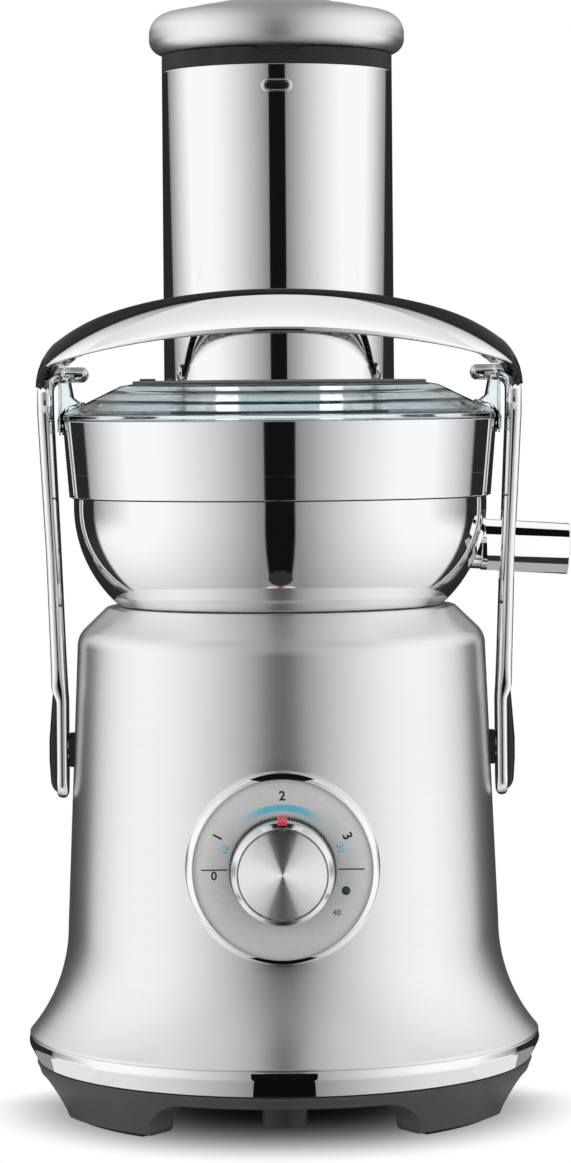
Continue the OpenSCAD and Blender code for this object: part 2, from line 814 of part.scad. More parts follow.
module shaft_seal() {
    color([0.08, 0.08, 0.08]) translate([0, 0, seal_z]) difference() {
        cylinder(r = hub_r - 5, h = deck_z - seal_z + 2);
        translate([0, 0, -1]) cylinder(r = shaft_r + gap, h = 12);
    }
}

module control_board() {
    color([0.1, 0.35, 0.18]) translate([0, 0, board_z]) difference() {
        union() {
            translate([-board_w / 2, -board_d / 2, 0]) cube([board_w, board_d, board_t]);
            translate([-25, -15, board_t - 0.1]) cube([16, 20, 8]);
            translate([8, 2, board_t - 0.1]) cylinder(r = 6, h = 8);
            translate([14, -16, board_t - 0.1]) cube([12, 10, 6]);
            translate([-24, 12, board_t - 0.1]) cube([22, 5, 7]);
        }
        for (x = [-1, 1], y = [-1, 1]) translate([x * board_post_x, y * board_post_y, -1])
            cylinder(r = board_screw_r + 0.1, h = 4);
    }
}

module board_screws() {
    color("silver") for (x = [-1, 1], y = [-1, 1])
        translate([x * board_post_x, y * board_post_y, board_z - 7]) {
            cylinder(r = board_screw_r, h = 7 + board_t);
            translate([0, 0, 7 + board_t]) cylinder(r = 2 * board_screw_r, h = 1.6);
        }
}

// ---------------------------------------------------------------- dial

module speed_selector() {
    color([0.12, 0.12, 0.13]) difference() {
        union() {
            translate([-selector_w / 2, -selector_front, dial_z - selector_w / 2])
                cube([selector_w, selector_front - selector_back, selector_w]);
            intersection() {
                on_dial(selector_front - 0.1) cylinder(r = bush_r + 3, h = 12);
                housing_solid(housing_wall + 0.2);
            }
            on_dial(selector_front - 0.1) cylinder(r = bush_r, h = bush_front - selector_front + 0.1);
        }
        on_dial(selector_back + 6) cylinder(r = selector_r + running, h = deep);
    }
}

module selector_shaft() {
    color("silver") on_dial(selector_back + 6 + gap)
        cylinder(r = selector_r, h = knob_front - knob_wall - 1 - selector_back - 6 - gap);
}

module selector_nut() {
    color("silver") on_dial(plate_y) difference() {
        cylinder(r = nut_af_r, h = bush_front - plate_y - 0.4, $fn = 6);
        translate([0, 0, -1]) cylinder(r = bush_r, h = 8);
    }
}

module dial_bezel() {
    color([0.88, 0.88, 0.89]) difference() {
        on_dial(plate_y - 22) cylinder(r = bezel_r, h = 22 + bezel_proud);
        on_dial(plate_y - 23) cylinder(r = bezel_r - bezel_wall, h = 30);
        housing_solid();
    }
}

module dial_plate() {
    color([0.72, 0.72, 0.73]) difference() {
        on_dial(plate_y - plate_t_dial) cylinder(r = bezel_r - bezel_wall, h = plate_t_dial);
        on_dial(plate_y - 10) cylinder(r = bush_r + 0.1, h = 20);
        on_dial(plate_y - 10) translate([lens_x, -lens_drop, 0]) cylinder(r = lens_r, h = 20);
    }
}

module status_lens() {
    color([0.05, 0.25, 0.2]) on_dial(plate_y - 3) translate([lens_x, -lens_drop, 0])
        cylinder(r = lens_r, h = 3.4);
}

module knob_body() {
    color([0.9, 0.9, 0.91]) on_dial(knob_y) difference() {
        union() {
            difference() {
                knob_form();
                translate([0, 0, -1]) cylinder(r = knob_face_r - 2, h = knob_front - knob_y - knob_wall + 1);
            }
            translate([0, 0, 2]) cylinder(r = selector_r + 2.5, h = knob_front - knob_y - knob_wall - 1.9);
        }
        cylinder(r = selector_r, h = knob_front - knob_y - knob_wall - 1);
        marker_slot();
        translate([0, 0, knob_front - knob_y - 0.6]) cylinder(r = knob_face_r - 0.8, h = 1);
    }
}

module knob_face() {
    color([0.78, 0.78, 0.79]) on_dial(knob_front - 0.6) cylinder(r = knob_face_r - 0.8, h = 0.7);
}

module knob_grip_ring() {
    color([0.3, 0.3, 0.31]) on_dial(knob_back) linear_extrude(grip_ring_t) difference() {
        polygon([for (i = [0:2 * knurls - 1])
            let (r = knob_r + (i % 2 == 0 ? 0.4 : -0.2), a = 180 * i / knurls)
            [r * cos(a), r * sin(a)]]);
        circle(r = knob_face_r);
    }
}

module knob_marker() {
    color([0.85, 0.15, 0.22]) on_dial(knob_y) intersection() {
        knob_form();
        marker_slot();
    }
}

// ---------------------------------------------------------------- locking arm

// One of a mirrored pair of side pieces
module both_sides() {
    for (s = [0, 1]) mirror([s, 0, 0]) children();
}

module pivot_bosses() {
    color([0.08, 0.08, 0.08]) both_sides() translate([0, 0, pivot_z]) difference() {
        union() {
            difference() {
                translate([pin_back, 0, 0]) rotate([0, 90, 0]) cylinder(r = boss_r, h = boss_out - pin_back);
                translate([0, 0, -pivot_z]) housing_solid();
            }
            translate([pin_back + 2, 0, 0]) rotate([0, 90, 0])
                cylinder(r = boss_r - 1.2, h = boss_out - pin_back - 2.5);
        }
        translate([pin_back, 0, 0]) rotate([0, 90, 0]) cylinder(r = pivot_r, h = 20);
    }
}

module pivot_pins() {
    color("silver") both_sides() translate([pin_back, 0, pivot_z]) rotate([0, 90, 0])
        cylinder(r = pivot_r, h = strap_mid - 0.6 - pin_back);
}

module safety_switch() {
    color([0.1, 0.1, 0.12]) {
        translate([pin_back - 10, -10, pivot_z - 6]) cube([10, 20, 12]);
        for (y = [-9.5, 7]) translate([pin_back - 1, y, pivot_z - 4])
            intersection() {
                cube([12, 2.5, 8]);
                translate([1 - pin_back, -y, 4 - pivot_z]) housing_solid(housing_wall + 0.1);
            }
    }
}

// Front view of the right strap: the chrome bar from the paddle to the bend over the pin
module strap_outline() {
    polygon([[strap_in, paddle_z], [strap_mid, paddle_z], [strap_mid, insert_top_z - 1],
             [strap_out - 1.5, insert_top_z], [strap_out + 0.4, rim_z - 57],
             [arm_half_w + strap_t / 2, rim_z + 3], [arm_half_w + strap_t / 2, pin_z - 4],
             [arm_half_w + 1, strap_top_z], [arm_half_w - strap_t / 2 - 4.2, strap_top_z],
             [arm_half_w - strap_t / 2 - 4.2, pin_z - 2.6], [ear_out + gap, pin_z - 2.6],
             [arm_half_w - strap_t / 2, pin_z - 6],
             [arm_half_w - strap_t / 2, rim_z + 3], [strap_mid - 2.1, rim_z - 57],
             [strap_in + 0.3, insert_top_z], [strap_in, pivot_z + 12]]);
}

// Side view of the strap: a rounded paddle at the pivot, then a straight bar
module strap_side() {
    translate([0, paddle_z + paddle_r]) circle(r = paddle_r);
    polygon([[-paddle_r, paddle_z + paddle_r], [paddle_r, paddle_z + paddle_r],
             [paddle_r, pivot_z + 17], [strap_w / 2, insert_top_z + 14], [strap_w / 2, strap_top_z + 1],
             [-strap_w / 2, strap_top_z + 1], [-strap_w / 2, insert_top_z + 14],
             [-paddle_r, pivot_z + 17]]);
}

module arm_straps() {
    color([0.86, 0.87, 0.88]) both_sides() difference() {
        intersection() {
            translate([0, paddle_r + 1, 0]) rotate([90, 0, 0]) linear_extrude(2 * paddle_r + 2)
                strap_outline();
            translate([strap_in - 1, 0, 0]) rotate([90, 0, 90]) linear_extrude(deep) strap_side();
        }
        translate([strap_in - 1, 0, pivot_z]) rotate([0, 90, 0])
            cylinder(r = pivot_r + running, h = strap_mid - strap_in + 0.7);
        translate([pin_tip, 0, pin_z]) rotate([0, 90, 0]) cylinder(r = pin_r, h = arm_half_w - pin_tip);
    }
}

module arm_inserts() {
    color([0.07, 0.07, 0.07]) both_sides() intersection() {
        translate([0, paddle_r + 1, 0]) rotate([90, 0, 0]) linear_extrude(2 * paddle_r + 2)
            polygon([[strap_mid, insert_z], [strap_out - 1, insert_z + 2], [strap_out, pivot_z - 4],
                     [strap_out, pivot_z + 4], [strap_out - 1.5, insert_top_z - 1],
                     [strap_mid, insert_top_z - 1.5]]);
        translate([strap_in, 0, 0]) rotate([90, 0, 90]) linear_extrude(deep) intersection() {
            strap_side();
            translate([-paddle_r + 1.5, insert_z]) square([2 * paddle_r - 3, insert_top_z - insert_z]);
        }
    }
}

module locking_pins() {
    color([0.86, 0.87, 0.88]) both_sides() {
        translate([pin_tip + pin_r, 0, pin_z]) rotate([0, 90, 0])
            cylinder(r = pin_r, h = arm_half_w - pin_tip - pin_r);
        translate([pin_tip + pin_r, 0, pin_z]) sphere(r = pin_r);
    }
}

// Heights along the crown at the angle a from its middle
function crown_under(a) = crown_bottom_z - crown_rise - crown_drop
    + (crown_rise + crown_drop) * pow(cos(a), 0.8);
function crown_split(a) = let (top = crown_bottom_z + face_h, end = pin_z - split_drop)
    end + (top - end) * pow(cos(a), 0.48);
function crown_over(a) = let (top = crown_bottom_z + face_h + grip_h, end = pin_z - over_drop)
    end + (top - end) * pow(cos(a), 0.72);
function crown_width(a) = strap_t + (crown_depth - strap_t) * cos(a);
function crown_side(a) = a * 90 / crown_end_a;

// A point of the crown: s outwards from its middle line at the angle a, and the height z
function crown_point(a, s, z) = [arm_half_w / sin(crown_end_a) * sin(a) + s * sin(crown_side(a)),
                                 -crown_reach * cos(a) - s * cos(crown_side(a)), z];

// Half section below (dir -1) or above (dir 1) the height z0, with rounded outer corners
function crown_half(a, z0, z1) = let (w = crown_width(a) / 2, r = min(w * 0.9, abs(z1 - z0) * 0.6),
                                      d = z1 > z0 ? 1 : -1)
    [for (p = [[-w, z0], [-w, z1 - d * r], [-w + 0.3 * r, z1 - d * 0.3 * r], [-w + r, z1],
               [w - r, z1], [w - 0.3 * r, z1 - d * 0.3 * r], [w, z1 - d * r], [w, z0]])
        crown_point(a, p[0], p[1])];

module arm_crown() {
    color([0.9, 0.9, 0.91])
        loft([for (a = face_angles) crown_half(a, crown_split(a), crown_under(a))]);
}

module arm_grip() {
    color([0.07, 0.07, 0.07])
        loft([for (a = concat([-crown_end_a, -face_end_a - 6], face_angles, [face_end_a + 6, crown_end_a]))
            crown_half(-a, max(crown_split(a) + 0.2, crown_under(a)), crown_over(a))]);
}

// ---------------------------------------------------------------- bowl

module bowl_shell() {
    color([0.82, 0.83, 0.84]) difference() {
        rotate_extrude() difference() {
            bowl_region(0);
            bowl_region(bowl_wall);
            translate([0, deck_z - 1]) square([well_r + liner_wall + 0.1, bowl_h]);
        }
        spout_bar(spout_neck_r, spout_root, spout_reach);
    }
}

module bowl_band() {
    color([0.84, 0.85, 0.86]) difference() {
        rotate_extrude() polygon([[bowl_r - bowl_wall, step_z], [band_foot_r, step_z], [rim_r, rim_z],
                                  [rim_r - bowl_wall, rim_z], [band_foot_r - bowl_wall, step_z + bowl_wall],
                                  [bowl_r - bowl_wall, step_z + bowl_wall]]);
        pulp_window();
    }
}

module bowl_liner() {
    foot_r = bowl_r - 10.5;
    bend_r = bowl_r - 3;
    top_r = rim_r - bowl_wall - 3.7;
    color([0.8, 0.84, 0.86]) {
        difference() {
            rotate_extrude() {
                polygon([[well_r + liner_wall, liner_floor_z], [foot_r, liner_floor_z],
                         [bend_r, step_z - 8], [top_r, liner_top_z - liner_flange_t],
                         [band_in(liner_top_z - liner_flange_t) - 0.1, liner_top_z - liner_flange_t],
                         [band_in(liner_top_z) - 0.1, liner_top_z],
                         [top_r - liner_wall, liner_top_z], [bend_r - liner_wall, step_z - 8],
                         [foot_r - liner_wall, liner_floor_z + liner_wall],
                         [well_r + liner_wall, liner_floor_z + liner_wall]]);
                translate([well_r, deck_z]) square([liner_wall, basket_floor_h - 6]);
            }
            spout_bar(spout_neck_r, spout_root - 10, spout_reach);
            pulp_window();
        }
    }
}

module juice_spout() {
    color([0.88, 0.88, 0.89]) difference() {
        union() {
            spout_bar(spout_neck_r, spout_root, spout_neck + 1);
            spout_bar(spout_r, spout_neck, spout_reach);
        }
        spout_bar(spout_r - spout_wall, spout_root - 5, spout_reach + 5);
    }
}

// ---------------------------------------------------------------- basket

module basket_frame() {
    color([0.25, 0.25, 0.27]) {
        rotate_extrude() {
            // floor, lower ring and rim
            polygon([[coupling_r + 1, grating_z - basket_floor_t], [cone_foot_r + 1.5, grating_z - basket_floor_t],
                     [cone_foot_r + 2, cone_z], [cone_foot_r, cone_z], [cone_foot_r, grating_z],
                     [coupling_r + 1, grating_z]]);
            translate([basket_rim_r - 1, cone_top_z - 1.5]) square([3, 4.5]);
        }
        // driven hub that drops over the coupling
        translate([0, 0, coupling_z + 3]) difference() {
            cylinder(r = hub_r, h = grating_z - coupling_z - 3);
            translate([0, 0, -1]) cylinder(r = coupling_r + 0.2, h = coupling_h - 1.8, $fn = 6);
        }
        // ribs behind the filter cone
        rise = atan2(basket_rim_r - cone_foot_r, basket_h);
        for (i = [0:5]) rotate(60 * i) translate([cone_foot_r + 0.9, -1, cone_z - 0.5])
            rotate([0, rise, 0]) cube([1.2, 2, basket_h / cos(rise) - 0.5]);
    }
}

module filter_mesh() {
    color([0.7, 0.71, 0.72]) rotate_extrude()
        polygon([[cone_foot_r, cone_z], [cone_foot_r + mesh_t, cone_z],
                 [basket_rim_r, cone_top_z - 1.5], [basket_rim_r - mesh_t, cone_top_z - 1.5]]);
}

module grating_disc() {
    color([0.72, 0.73, 0.74]) {
        translate([0, 0, grating_z]) cylinder(r = grating_r, h = 1);
        translate([0, 0, grating_z + 0.9]) cylinder(r1 = 8, r2 = 5, h = 3);
        for (i = [0:teeth - 1]) rotate(360 * i / teeth)
            for (r = [16 + 4 * (i % 2), 30 + 4 * (i % 2)])
                translate([r, -0.4, grating_z + 0.9]) cube([5, 0.8, 1.5]);
    }
}

// ---------------------------------------------------------------- cover and chute

module hood_space() {
    translate([-hood_w + hood_wall, collar_r - 2, rim_z - hood_h])
        cube([2 * (hood_w - hood_wall), hood_reach - hood_wall - collar_r + 2, hood_h + 4.5]);
}

module clear_cover() {
    color([0.7, 0.78, 0.82, 0.5]) difference() {
        union() {
            rotate_extrude()
                polygon([[rim_r + 0.3, rim_z], [rim_r + 0.3, rim_z + 2.2], [cone_edge_r, rim_z + 4],
                         [collar_r + 5, cover_z - 0.8], [collar_r, cover_z], [liner_r, cover_z],
                         [liner_r, cover_z - cover_wall], [collar_r - 0.5, cover_z - cover_wall],
                         [collar_r + 4, cover_z - 0.8 - cover_wall], [cone_edge_r - 1.5, rim_z + 1.7],
                         [rim_r - 3.9, rim_z - 4], [rim_r - 1.9, rim_z - 4], [rim_r - 1.9, rim_z]]);
            // pulp hood behind the bowl
            difference() {
                translate([-hood_w, collar_r, rim_z - hood_h + 7])
                    cube([2 * hood_w, hood_reach - collar_r, hood_h]);
                cylinder(r = cone_edge_r - 10, h = deep);
                cylinder(r = rim_r + 0.8, h = rim_z + 0.3);
            }
            // ears that take the locking pins
            both_sides() intersection() {
                difference() {
                    translate([0, ear_w / 2, 0]) rotate([90, 0, 0]) linear_extrude(ear_w)
                        polygon([[ear_out, rim_z - 5], [ear_out, pin_z], [ear_in, pin_z],
                                 [ear_in - 3, rim_z + 8], [ear_in - 7, rim_z + 4.5],
                                 [rim_r - 3, rim_z + 1], [rim_r + 0.3, rim_z + 0.5],
                                 [rim_r + 0.4, rim_z - 5]]);
                    // keeps the hook clear of the bowl's rim
                    cylinder(r = rim_r + 0.3, h = rim_z);
                }
                translate([0, 0, pivot_z]) rotate([0, 90, 0])
                    cylinder(r = pin_reach - pin_r - gap, h = deep / 2);
            }
            // stop behind each pin
            both_sides() translate([ear_in - 1, pin_r + gap, rim_z + 8])
                cube([3, ear_w / 2 - pin_r - gap, pin_h - 8]);
        }
        hood_space();
    }
}

module cover_collar() {
    color([0.5, 0.5, 0.52]) {
        translate([0, 0, cover_z]) difference() {
            cylinder(r = collar_r, h = collar_t);
            translate([0, 0, -1]) cylinder(r = sleeve_r, h = collar_t + 2);
        }
        translate([-collar_r + 3, -5, cover_z + collar_t - 0.1]) cube([7, 4, 1.1]);
    }
}

module chute_liner() {
    color([0.33, 0.34, 0.35]) difference() {
        union() {
            translate([0, 0, chute_end_z]) cylinder(r = liner_r, h = collar_z - chute_end_z);
            translate([0, 0, collar_z]) cylinder(r = sleeve_r, h = top_collar_h);
            key_bar(key_in, sleeve_r + 0.3);
        }
        difference() {
            translate([0, 0, chute_end_z - 1]) cylinder(r = chute_r, h = deep);
            key_bar(key_in, sleeve_r);
        }
        // shallow notch in the front of the top edge
        translate([0, -chute_r + 8, chute_top_z + 18.75]) rotate([90, 0, 0])
            cylinder(r = 21.25, h = 20);
    }
}

module chute_sleeve() {
    color([0.9, 0.9, 0.91]) difference() {
        translate([0, 0, cover_z]) cylinder(r = sleeve_r, h = sleeve_h);
        translate([0, 0, cover_z - 1]) cylinder(r = liner_r, h = sleeve_h + 2);
        key_bar(key_in, sleeve_r + 1);
    }
}

// ---------------------------------------------------------------- pusher

module pusher_body() {
    groove_w = key_w + 1.2;
    color([0.62, 0.65, 0.67]) difference() {
        translate([0, 0, pusher_z]) cylinder(r = pusher_r, h = pusher_len);
        translate([0, 0, pusher_z + pusher_wall]) cylinder(r = pusher_r - pusher_wall, h = deep);
        translate([-groove_w / 2, -pusher_r - 1, pusher_z - 1])
            cube([groove_w, pusher_r + 1 - key_in + gap, pusher_len + 2]);
    }
}

module pusher_cap() {
    color([0.78, 0.78, 0.79]) difference() {
        rotate_extrude() {
            intersection() {
                translate([cap_r - cap_edge_r, cap_z + cap_edge_r]) circle(r = cap_edge_r);
                translate([cap_r - cap_edge_r, cap_z]) square([cap_edge_r, 2 * cap_edge_r]);
            }
            polygon([[0, cap_z], [cap_r - cap_edge_r, cap_z],
                     [cap_r - cap_edge_r, cap_z + 2 * cap_edge_r], [cap_dome_r, cap_z + cap_h - 0.7],
                     [0, cap_z + cap_h]]);
        }
        translate([0, 0, cap_z - 1]) cylinder(r = pusher_r, h = pusher_seat + 1);
        translate([0, 0, cap_z]) cylinder(r = pusher_r - pusher_wall, h = 2 * cap_edge_r - 2);
    }
}

housing_shell();
base_ring();
base_pan();
foot_pads();
cord_gland();
base_screws();
top_deck();
deck_nuts();
motor_bracket();
motor_grommets();
motor_screws();
stator_core();
stator_windings();
motor_end_cap();
motor_bolts();
brush_holders();
carbon_brushes();
brush_springs();
upper_bearing();
lower_bearing();
rotor_core();
rotor_windings();
commutator();
motor_shaft();
cooling_fan();
drive_coupling();
shaft_seal();
control_board();
board_screws();
speed_selector();
selector_shaft();
selector_nut();
dial_bezel();
dial_plate();
status_lens();
knob_body();
knob_face();
knob_grip_ring();
knob_marker();
pivot_bosses();
pivot_pins();
safety_switch();
arm_straps();
arm_crown();
arm_grip();
arm_inserts();
locking_pins();
bowl_shell();
bowl_band();
bowl_liner();
juice_spout();
basket_frame();
filter_mesh();
grating_disc();
clear_cover();
cover_collar();
chute_liner();
chute_sleeve();
pusher_body();
pusher_cap();
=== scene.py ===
"""A centrifugal juicer, dressed for a render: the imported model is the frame, and every visible piece is
a smooth surface worked out on a grid over it. Lengths are millimetres until a mesh is made of them."""

import bmesh
import bpy
import numpy as np
from mathutils import Matrix


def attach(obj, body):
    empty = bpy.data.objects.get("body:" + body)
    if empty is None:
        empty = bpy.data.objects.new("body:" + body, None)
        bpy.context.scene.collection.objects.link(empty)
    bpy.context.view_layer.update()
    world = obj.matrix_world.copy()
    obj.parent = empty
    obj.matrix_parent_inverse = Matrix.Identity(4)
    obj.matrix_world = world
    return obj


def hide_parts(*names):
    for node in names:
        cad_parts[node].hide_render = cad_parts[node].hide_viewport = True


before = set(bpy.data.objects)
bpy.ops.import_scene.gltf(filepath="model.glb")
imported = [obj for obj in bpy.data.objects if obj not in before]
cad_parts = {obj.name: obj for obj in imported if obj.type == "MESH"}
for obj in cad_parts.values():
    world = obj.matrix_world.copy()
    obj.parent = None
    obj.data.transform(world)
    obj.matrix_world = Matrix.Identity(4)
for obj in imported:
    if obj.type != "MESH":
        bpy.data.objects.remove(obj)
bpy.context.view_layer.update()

# ---- Camera ------------------------------------------------------------------------------------------
# A long lens 1.6 m in front of the juicer, level with the bowl's rim. Its frame is shifted down rather
# than tipped, so that upright lines stay parallel, and it is turned in its own plane by half a degree.



def placed(name, data):
    """An object of a new camera, lamp, mesh or curve, put in the scene."""
    made = bpy.data.objects.new(name, data)
    bpy.context.scene.collection.objects.link(made)
    return made


camera = placed("camera", bpy.data.cameras.new("camera"))
camera.data.sensor_fit = "VERTICAL"
camera.data.sensor_height = 36.0
camera.data.lens = 119.17
camera.data.shift_y = -0.1561
camera.data.clip_end = 20.0
camera.matrix_world = (Matrix.Translation((0.00255, -1.5975, 0.292))
                       @ Matrix.Rotation(np.radians(90), 4, "X")
                       @ Matrix.Rotation(np.radians(-0.46), 4, "Z"))
bpy.context.scene.camera = camera
bpy.context.scene.view_settings.view_transform = "Standard"


# ---- Studio light ------------------------------------------------------------------------------------
# A white room, as polished metal is lit for a catalogue: broad white screens at both sides, a narrow
# black card in front, which is the dark strip down the middle of the chrome, and a dark space behind,
# which draws its edges. Plastic takes its light from the even room and two large soft lamps.
class Shade:
    """A socket of a node tree. Sums and products of it add Math nodes, so 1 - mask is a node."""

    def __init__(self, tree, socket=None):
        self.tree, self.socket = tree, socket

    def node(self, kind, settings=None, inputs=None, output=0):
        """A node of this type: its settings first, then the values or links of its sockets."""
        made = self.tree.nodes.new(kind)
        for name, value in (settings or {}).items():
            if name == "stops":
                ramp = made.color_ramp
                while len(ramp.elements) < len(value):
                    ramp.elements.new(0.5)
                for element, (place, colour) in zip(ramp.elements, value):
                    element.position, element.color = place, (*colour, 1.0)
            else:
                setattr(made, name, value)
        for name, value in (inputs or {}).items():
            if isinstance(value, Shade):
                self.tree.links.new(value.socket, made.inputs[name])
            else:
                made.inputs[name].default_value = value
        return Shade(self.tree, made.outputs[output] if len(made.outputs) else None)

    def out(self, name):
        """Another output of the node that this socket belongs to."""
        return Shade(self.tree, self.socket.node.outputs[name])

    def math(self, operation, first, second=0.0, clamp=False):
        """A Math node of two values, kept within 0 and 1 if it is clamped."""
        return self.node("ShaderNodeMath", {"operation": operation, "use_clamp": clamp},
                         {0: first, 1: second})

    def vector(self, operation, inputs, output=0):
        """A Vector Math node of these inputs."""
        return self.node("ShaderNodeVectorMath", {"operation": operation}, inputs, output)

    def at_least(self, low):
        """Itself, or the low value where it is less."""
        return self.math("MAXIMUM", self, low)

    def __add__(self, other):
        return self.math("ADD", self, other)

    def __sub__(self, other):
        return self.math("SUBTRACT", self, other)

    def __rsub__(self, other):
        return self.math("SUBTRACT", other, self)

    def __mul__(self, other):
        return self.math("MULTIPLY", self, other)

    def __pow__(self, other):
        return self.math("POWER", self, other)

    def __abs__(self):
        return self.math("ABSOLUTE", self)

    __radd__, __rmul__ = __add__, __mul__

    def step(self, low, high, kind="SMOOTHSTEP"):
        """Rises from 0 at low to 1 at high, smoothly or in a straight line."""
        return self.node("ShaderNodeMapRange", {"interpolation_type": kind, "clamp": True},
                         {"Value": self, "From Min": low, "From Max": high})


def space(holder, coordinates="Object"):
    """A new world or material, its node tree emptied to build in, and a Shade of it that has the place of
    each point, in object space unless other coordinates are named."""
    holder.use_nodes = True
    holder.node_tree.nodes.clear()
    shade = Shade(holder.node_tree)
    shade.place = shade.node("ShaderNodeTexCoord", output=coordinates)
    return holder, shade


def axes(shade):
    """The X, Y and Z of a point's place."""
    split = shade.node("ShaderNodeSeparateXYZ", {}, {0: shade.place})
    return [split.out(axis) for axis in "XYZ"]


studio, room = space(bpy.data.worlds.new("studio"), "Generated")
ray = room.node("ShaderNodeLightPath")
across, along, up = axes(room)
across = abs(across)
screens = 0.25 + 0.75 * across.step(0.15, 0.92, "LINEAR")
card_half = 0.145 * abs(along) + 0.022 * abs(up)
card = (room.math("MULTIPLY", card_half - across + 0.004, 60.0, True)
        * (1 - up.step(0.17, 0.23)) * up.step(-0.93, -0.88) * (1 - along.step(-0.25, -0.10)))
back = along - 2.2 * up.at_least(0.0)
rear = ((1 - 1.15 * back.at_least(0.0) * (1 - abs(up).step(0.05, 0.26)))
        * (1 - 0.95 * back.step(0.56, 0.62)))
mirrored = (screens * (1 - 0.97 * card) * rear).at_least(0.022) * (1 - 0.75 * card)
seen = room.math("ADD", ray.out("Is Camera Ray"), ray.out("Is Transmission Ray"), True)
gloss = ray.out("Is Glossy Ray")
level = seen + (1 - seen) * (gloss * mirrored + 0.8 * (1 - gloss))
room.node("ShaderNodeOutputWorld", {}, {"Surface": room.node(
    "ShaderNodeBackground", {}, {"Color": (1, 1, 1, 1), "Strength": level})})
bpy.context.scene.world = studio

for side in (-1, 1):
    lamp = placed(f"lamp_{side + 2}", bpy.data.lights.new(f"lamp_{side + 2}", "AREA"))
    lamp.data.shape, lamp.data.energy = "RECTANGLE", 9.0
    lamp.data.size, lamp.data.size_y = 0.9, 1.6
    lamp.matrix_world = (Matrix.Translation((side * 1.5, -1.1, 0.9))
                         @ Matrix.Rotation(side * 0.94, 4, "Z") @ Matrix.Rotation(1.22, 4, "X"))
    lamp.visible_glossy = False

# ---- Floor -------------------------------------------------------------------------------------------
# A wide white sheet under the feet. The camera sees it as glowing white paper with a painted shadow,
# darkest under the base and fading close round it; polished metal looks past it into the white room.
FLOOR_HALF, SHADE_R = 4.0, 0.096
sheet, paper = space(bpy.data.materials.new("floor_paper"))
ray = paper.node("ShaderNodeLightPath")
across, along, _ = axes(paper)
across, along = across * (1 / SHADE_R), (along + 0.9 * along.at_least(0.0)) * (1 / SHADE_R)
# Painted shadow: the glow falls from white to near black towards the base's middle, and reaches less far
# behind.
light_there = (across ** 2 + along ** 2).step(0.0, 1.8) ** 1.3
lit = paper.node("ShaderNodeMix", {"data_type": "RGBA"},
                 {0: light_there, 6: (0.0035, 0.0032, 0.003, 1), 7: (1, 1, 1, 1)}, 2)
shown = paper.node("ShaderNodeEmission", {}, {"Color": lit, "Strength": 1.0})
matt = paper.node("ShaderNodeBsdfDiffuse", {}, {"Color": (0.8, 0.8, 0.8, 1)})
clear = paper.node("ShaderNodeBsdfTransparent", {}, {"Color": (1, 1, 1, 1)})
plain = paper.node("ShaderNodeMixShader", {}, {0: ray.out("Is Camera Ray"), 1: matt, 2: shown})
paper.node("ShaderNodeOutputMaterial", {}, {"Surface": paper.node(
    "ShaderNodeMixShader", {}, {0: ray.out("Is Glossy Ray"), 1: plain, 2: clear})})
floor_mesh = bpy.data.meshes.new("floor")
floor_mesh.from_pydata([(x * FLOOR_HALF, y * FLOOR_HALF, 0)
                        for x, y in ((-1, -1), (1, -1), (1, 1), (-1, 1))], [], [(0, 1, 2, 3)])
floor_mesh.materials.append(sheet)
floor = placed("floor", floor_mesh)

# ---- Reflector cards ---------------------------------------------------------------------------------
# Small cards for polished metal to mirror: a white one over the arm and a graded one in front of it,
# black ones before the base ring and round the dial, light ones at the ring's sides, and a tunnel of
# light and dark strips round the juice spout. Only polished surfaces see them, from their cloth side.
TUNNEL_Y, TUNNEL_Z, TUNNEL_R, TUNNEL_NEAR, TUNNEL_FAR = 0.022, 0.2298, 0.0165, 0.0865, 0.128
SIDE_NEAR, SIDE_FAR, SIDE_Y, CARD_FOOT = 0.100, 0.165, 0.002, 0.001
UNDER_RING = [(SIDE_NEAR, -0.06, CARD_FOOT), (SIDE_FAR, -0.06, CARD_FOOT),
              (SIDE_FAR, SIDE_Y, CARD_FOOT), (SIDE_NEAR, SIDE_Y, CARD_FOOT)]
BESIDE_RING = [(SIDE_NEAR, SIDE_Y, CARD_FOOT), (SIDE_FAR, SIDE_Y, CARD_FOOT),
               (SIDE_FAR, SIDE_Y, 0.017), (SIDE_NEAR, SIDE_Y, 0.020)]


def flap(first_half, last_half, y, z):
    """A flat card across the middle: the half widths of its two edges, their y and their z. The cloth is on
    its lower side, or on the other one where the half widths are negative."""
    return [(-first_half, y[0], z[0]), (first_half, y[0], z[0]),
            (last_half, y[1], z[1]), (-last_half, y[1], z[1])]


def disc(half, y, deep, z):
    """A round card: half its width, its middle's y, half its depth and its height. The cloth is on its upper
    side, or on the lower one where the depth is negative."""
    turns = np.radians(np.arange(0, 360, 15)).tolist()
    return [(half * np.cos(t), y + deep * np.sin(t), z) for t in turns]


def at_side(side, corners):
    """A card at the right side (1), or its mirror image at the left (-1) with its corners turned round."""
    return [(side * x, y, z) for x, y, z in corners][::side]


def sleeve_wall(low, high):
    """One flat wall of a tunnel round the juice spout, between two angles up from straight ahead."""
    edge = [(TUNNEL_Y - TUNNEL_R * np.cos(t), TUNNEL_Z + TUNNEL_R * np.sin(t))
            for t in np.radians([high, low]).tolist()]
    return [(TUNNEL_NEAR, *edge[0]), (TUNNEL_FAR, *edge[0]),
            (TUNNEL_FAR, *edge[1]), (TUNNEL_NEAR, *edge[1])]


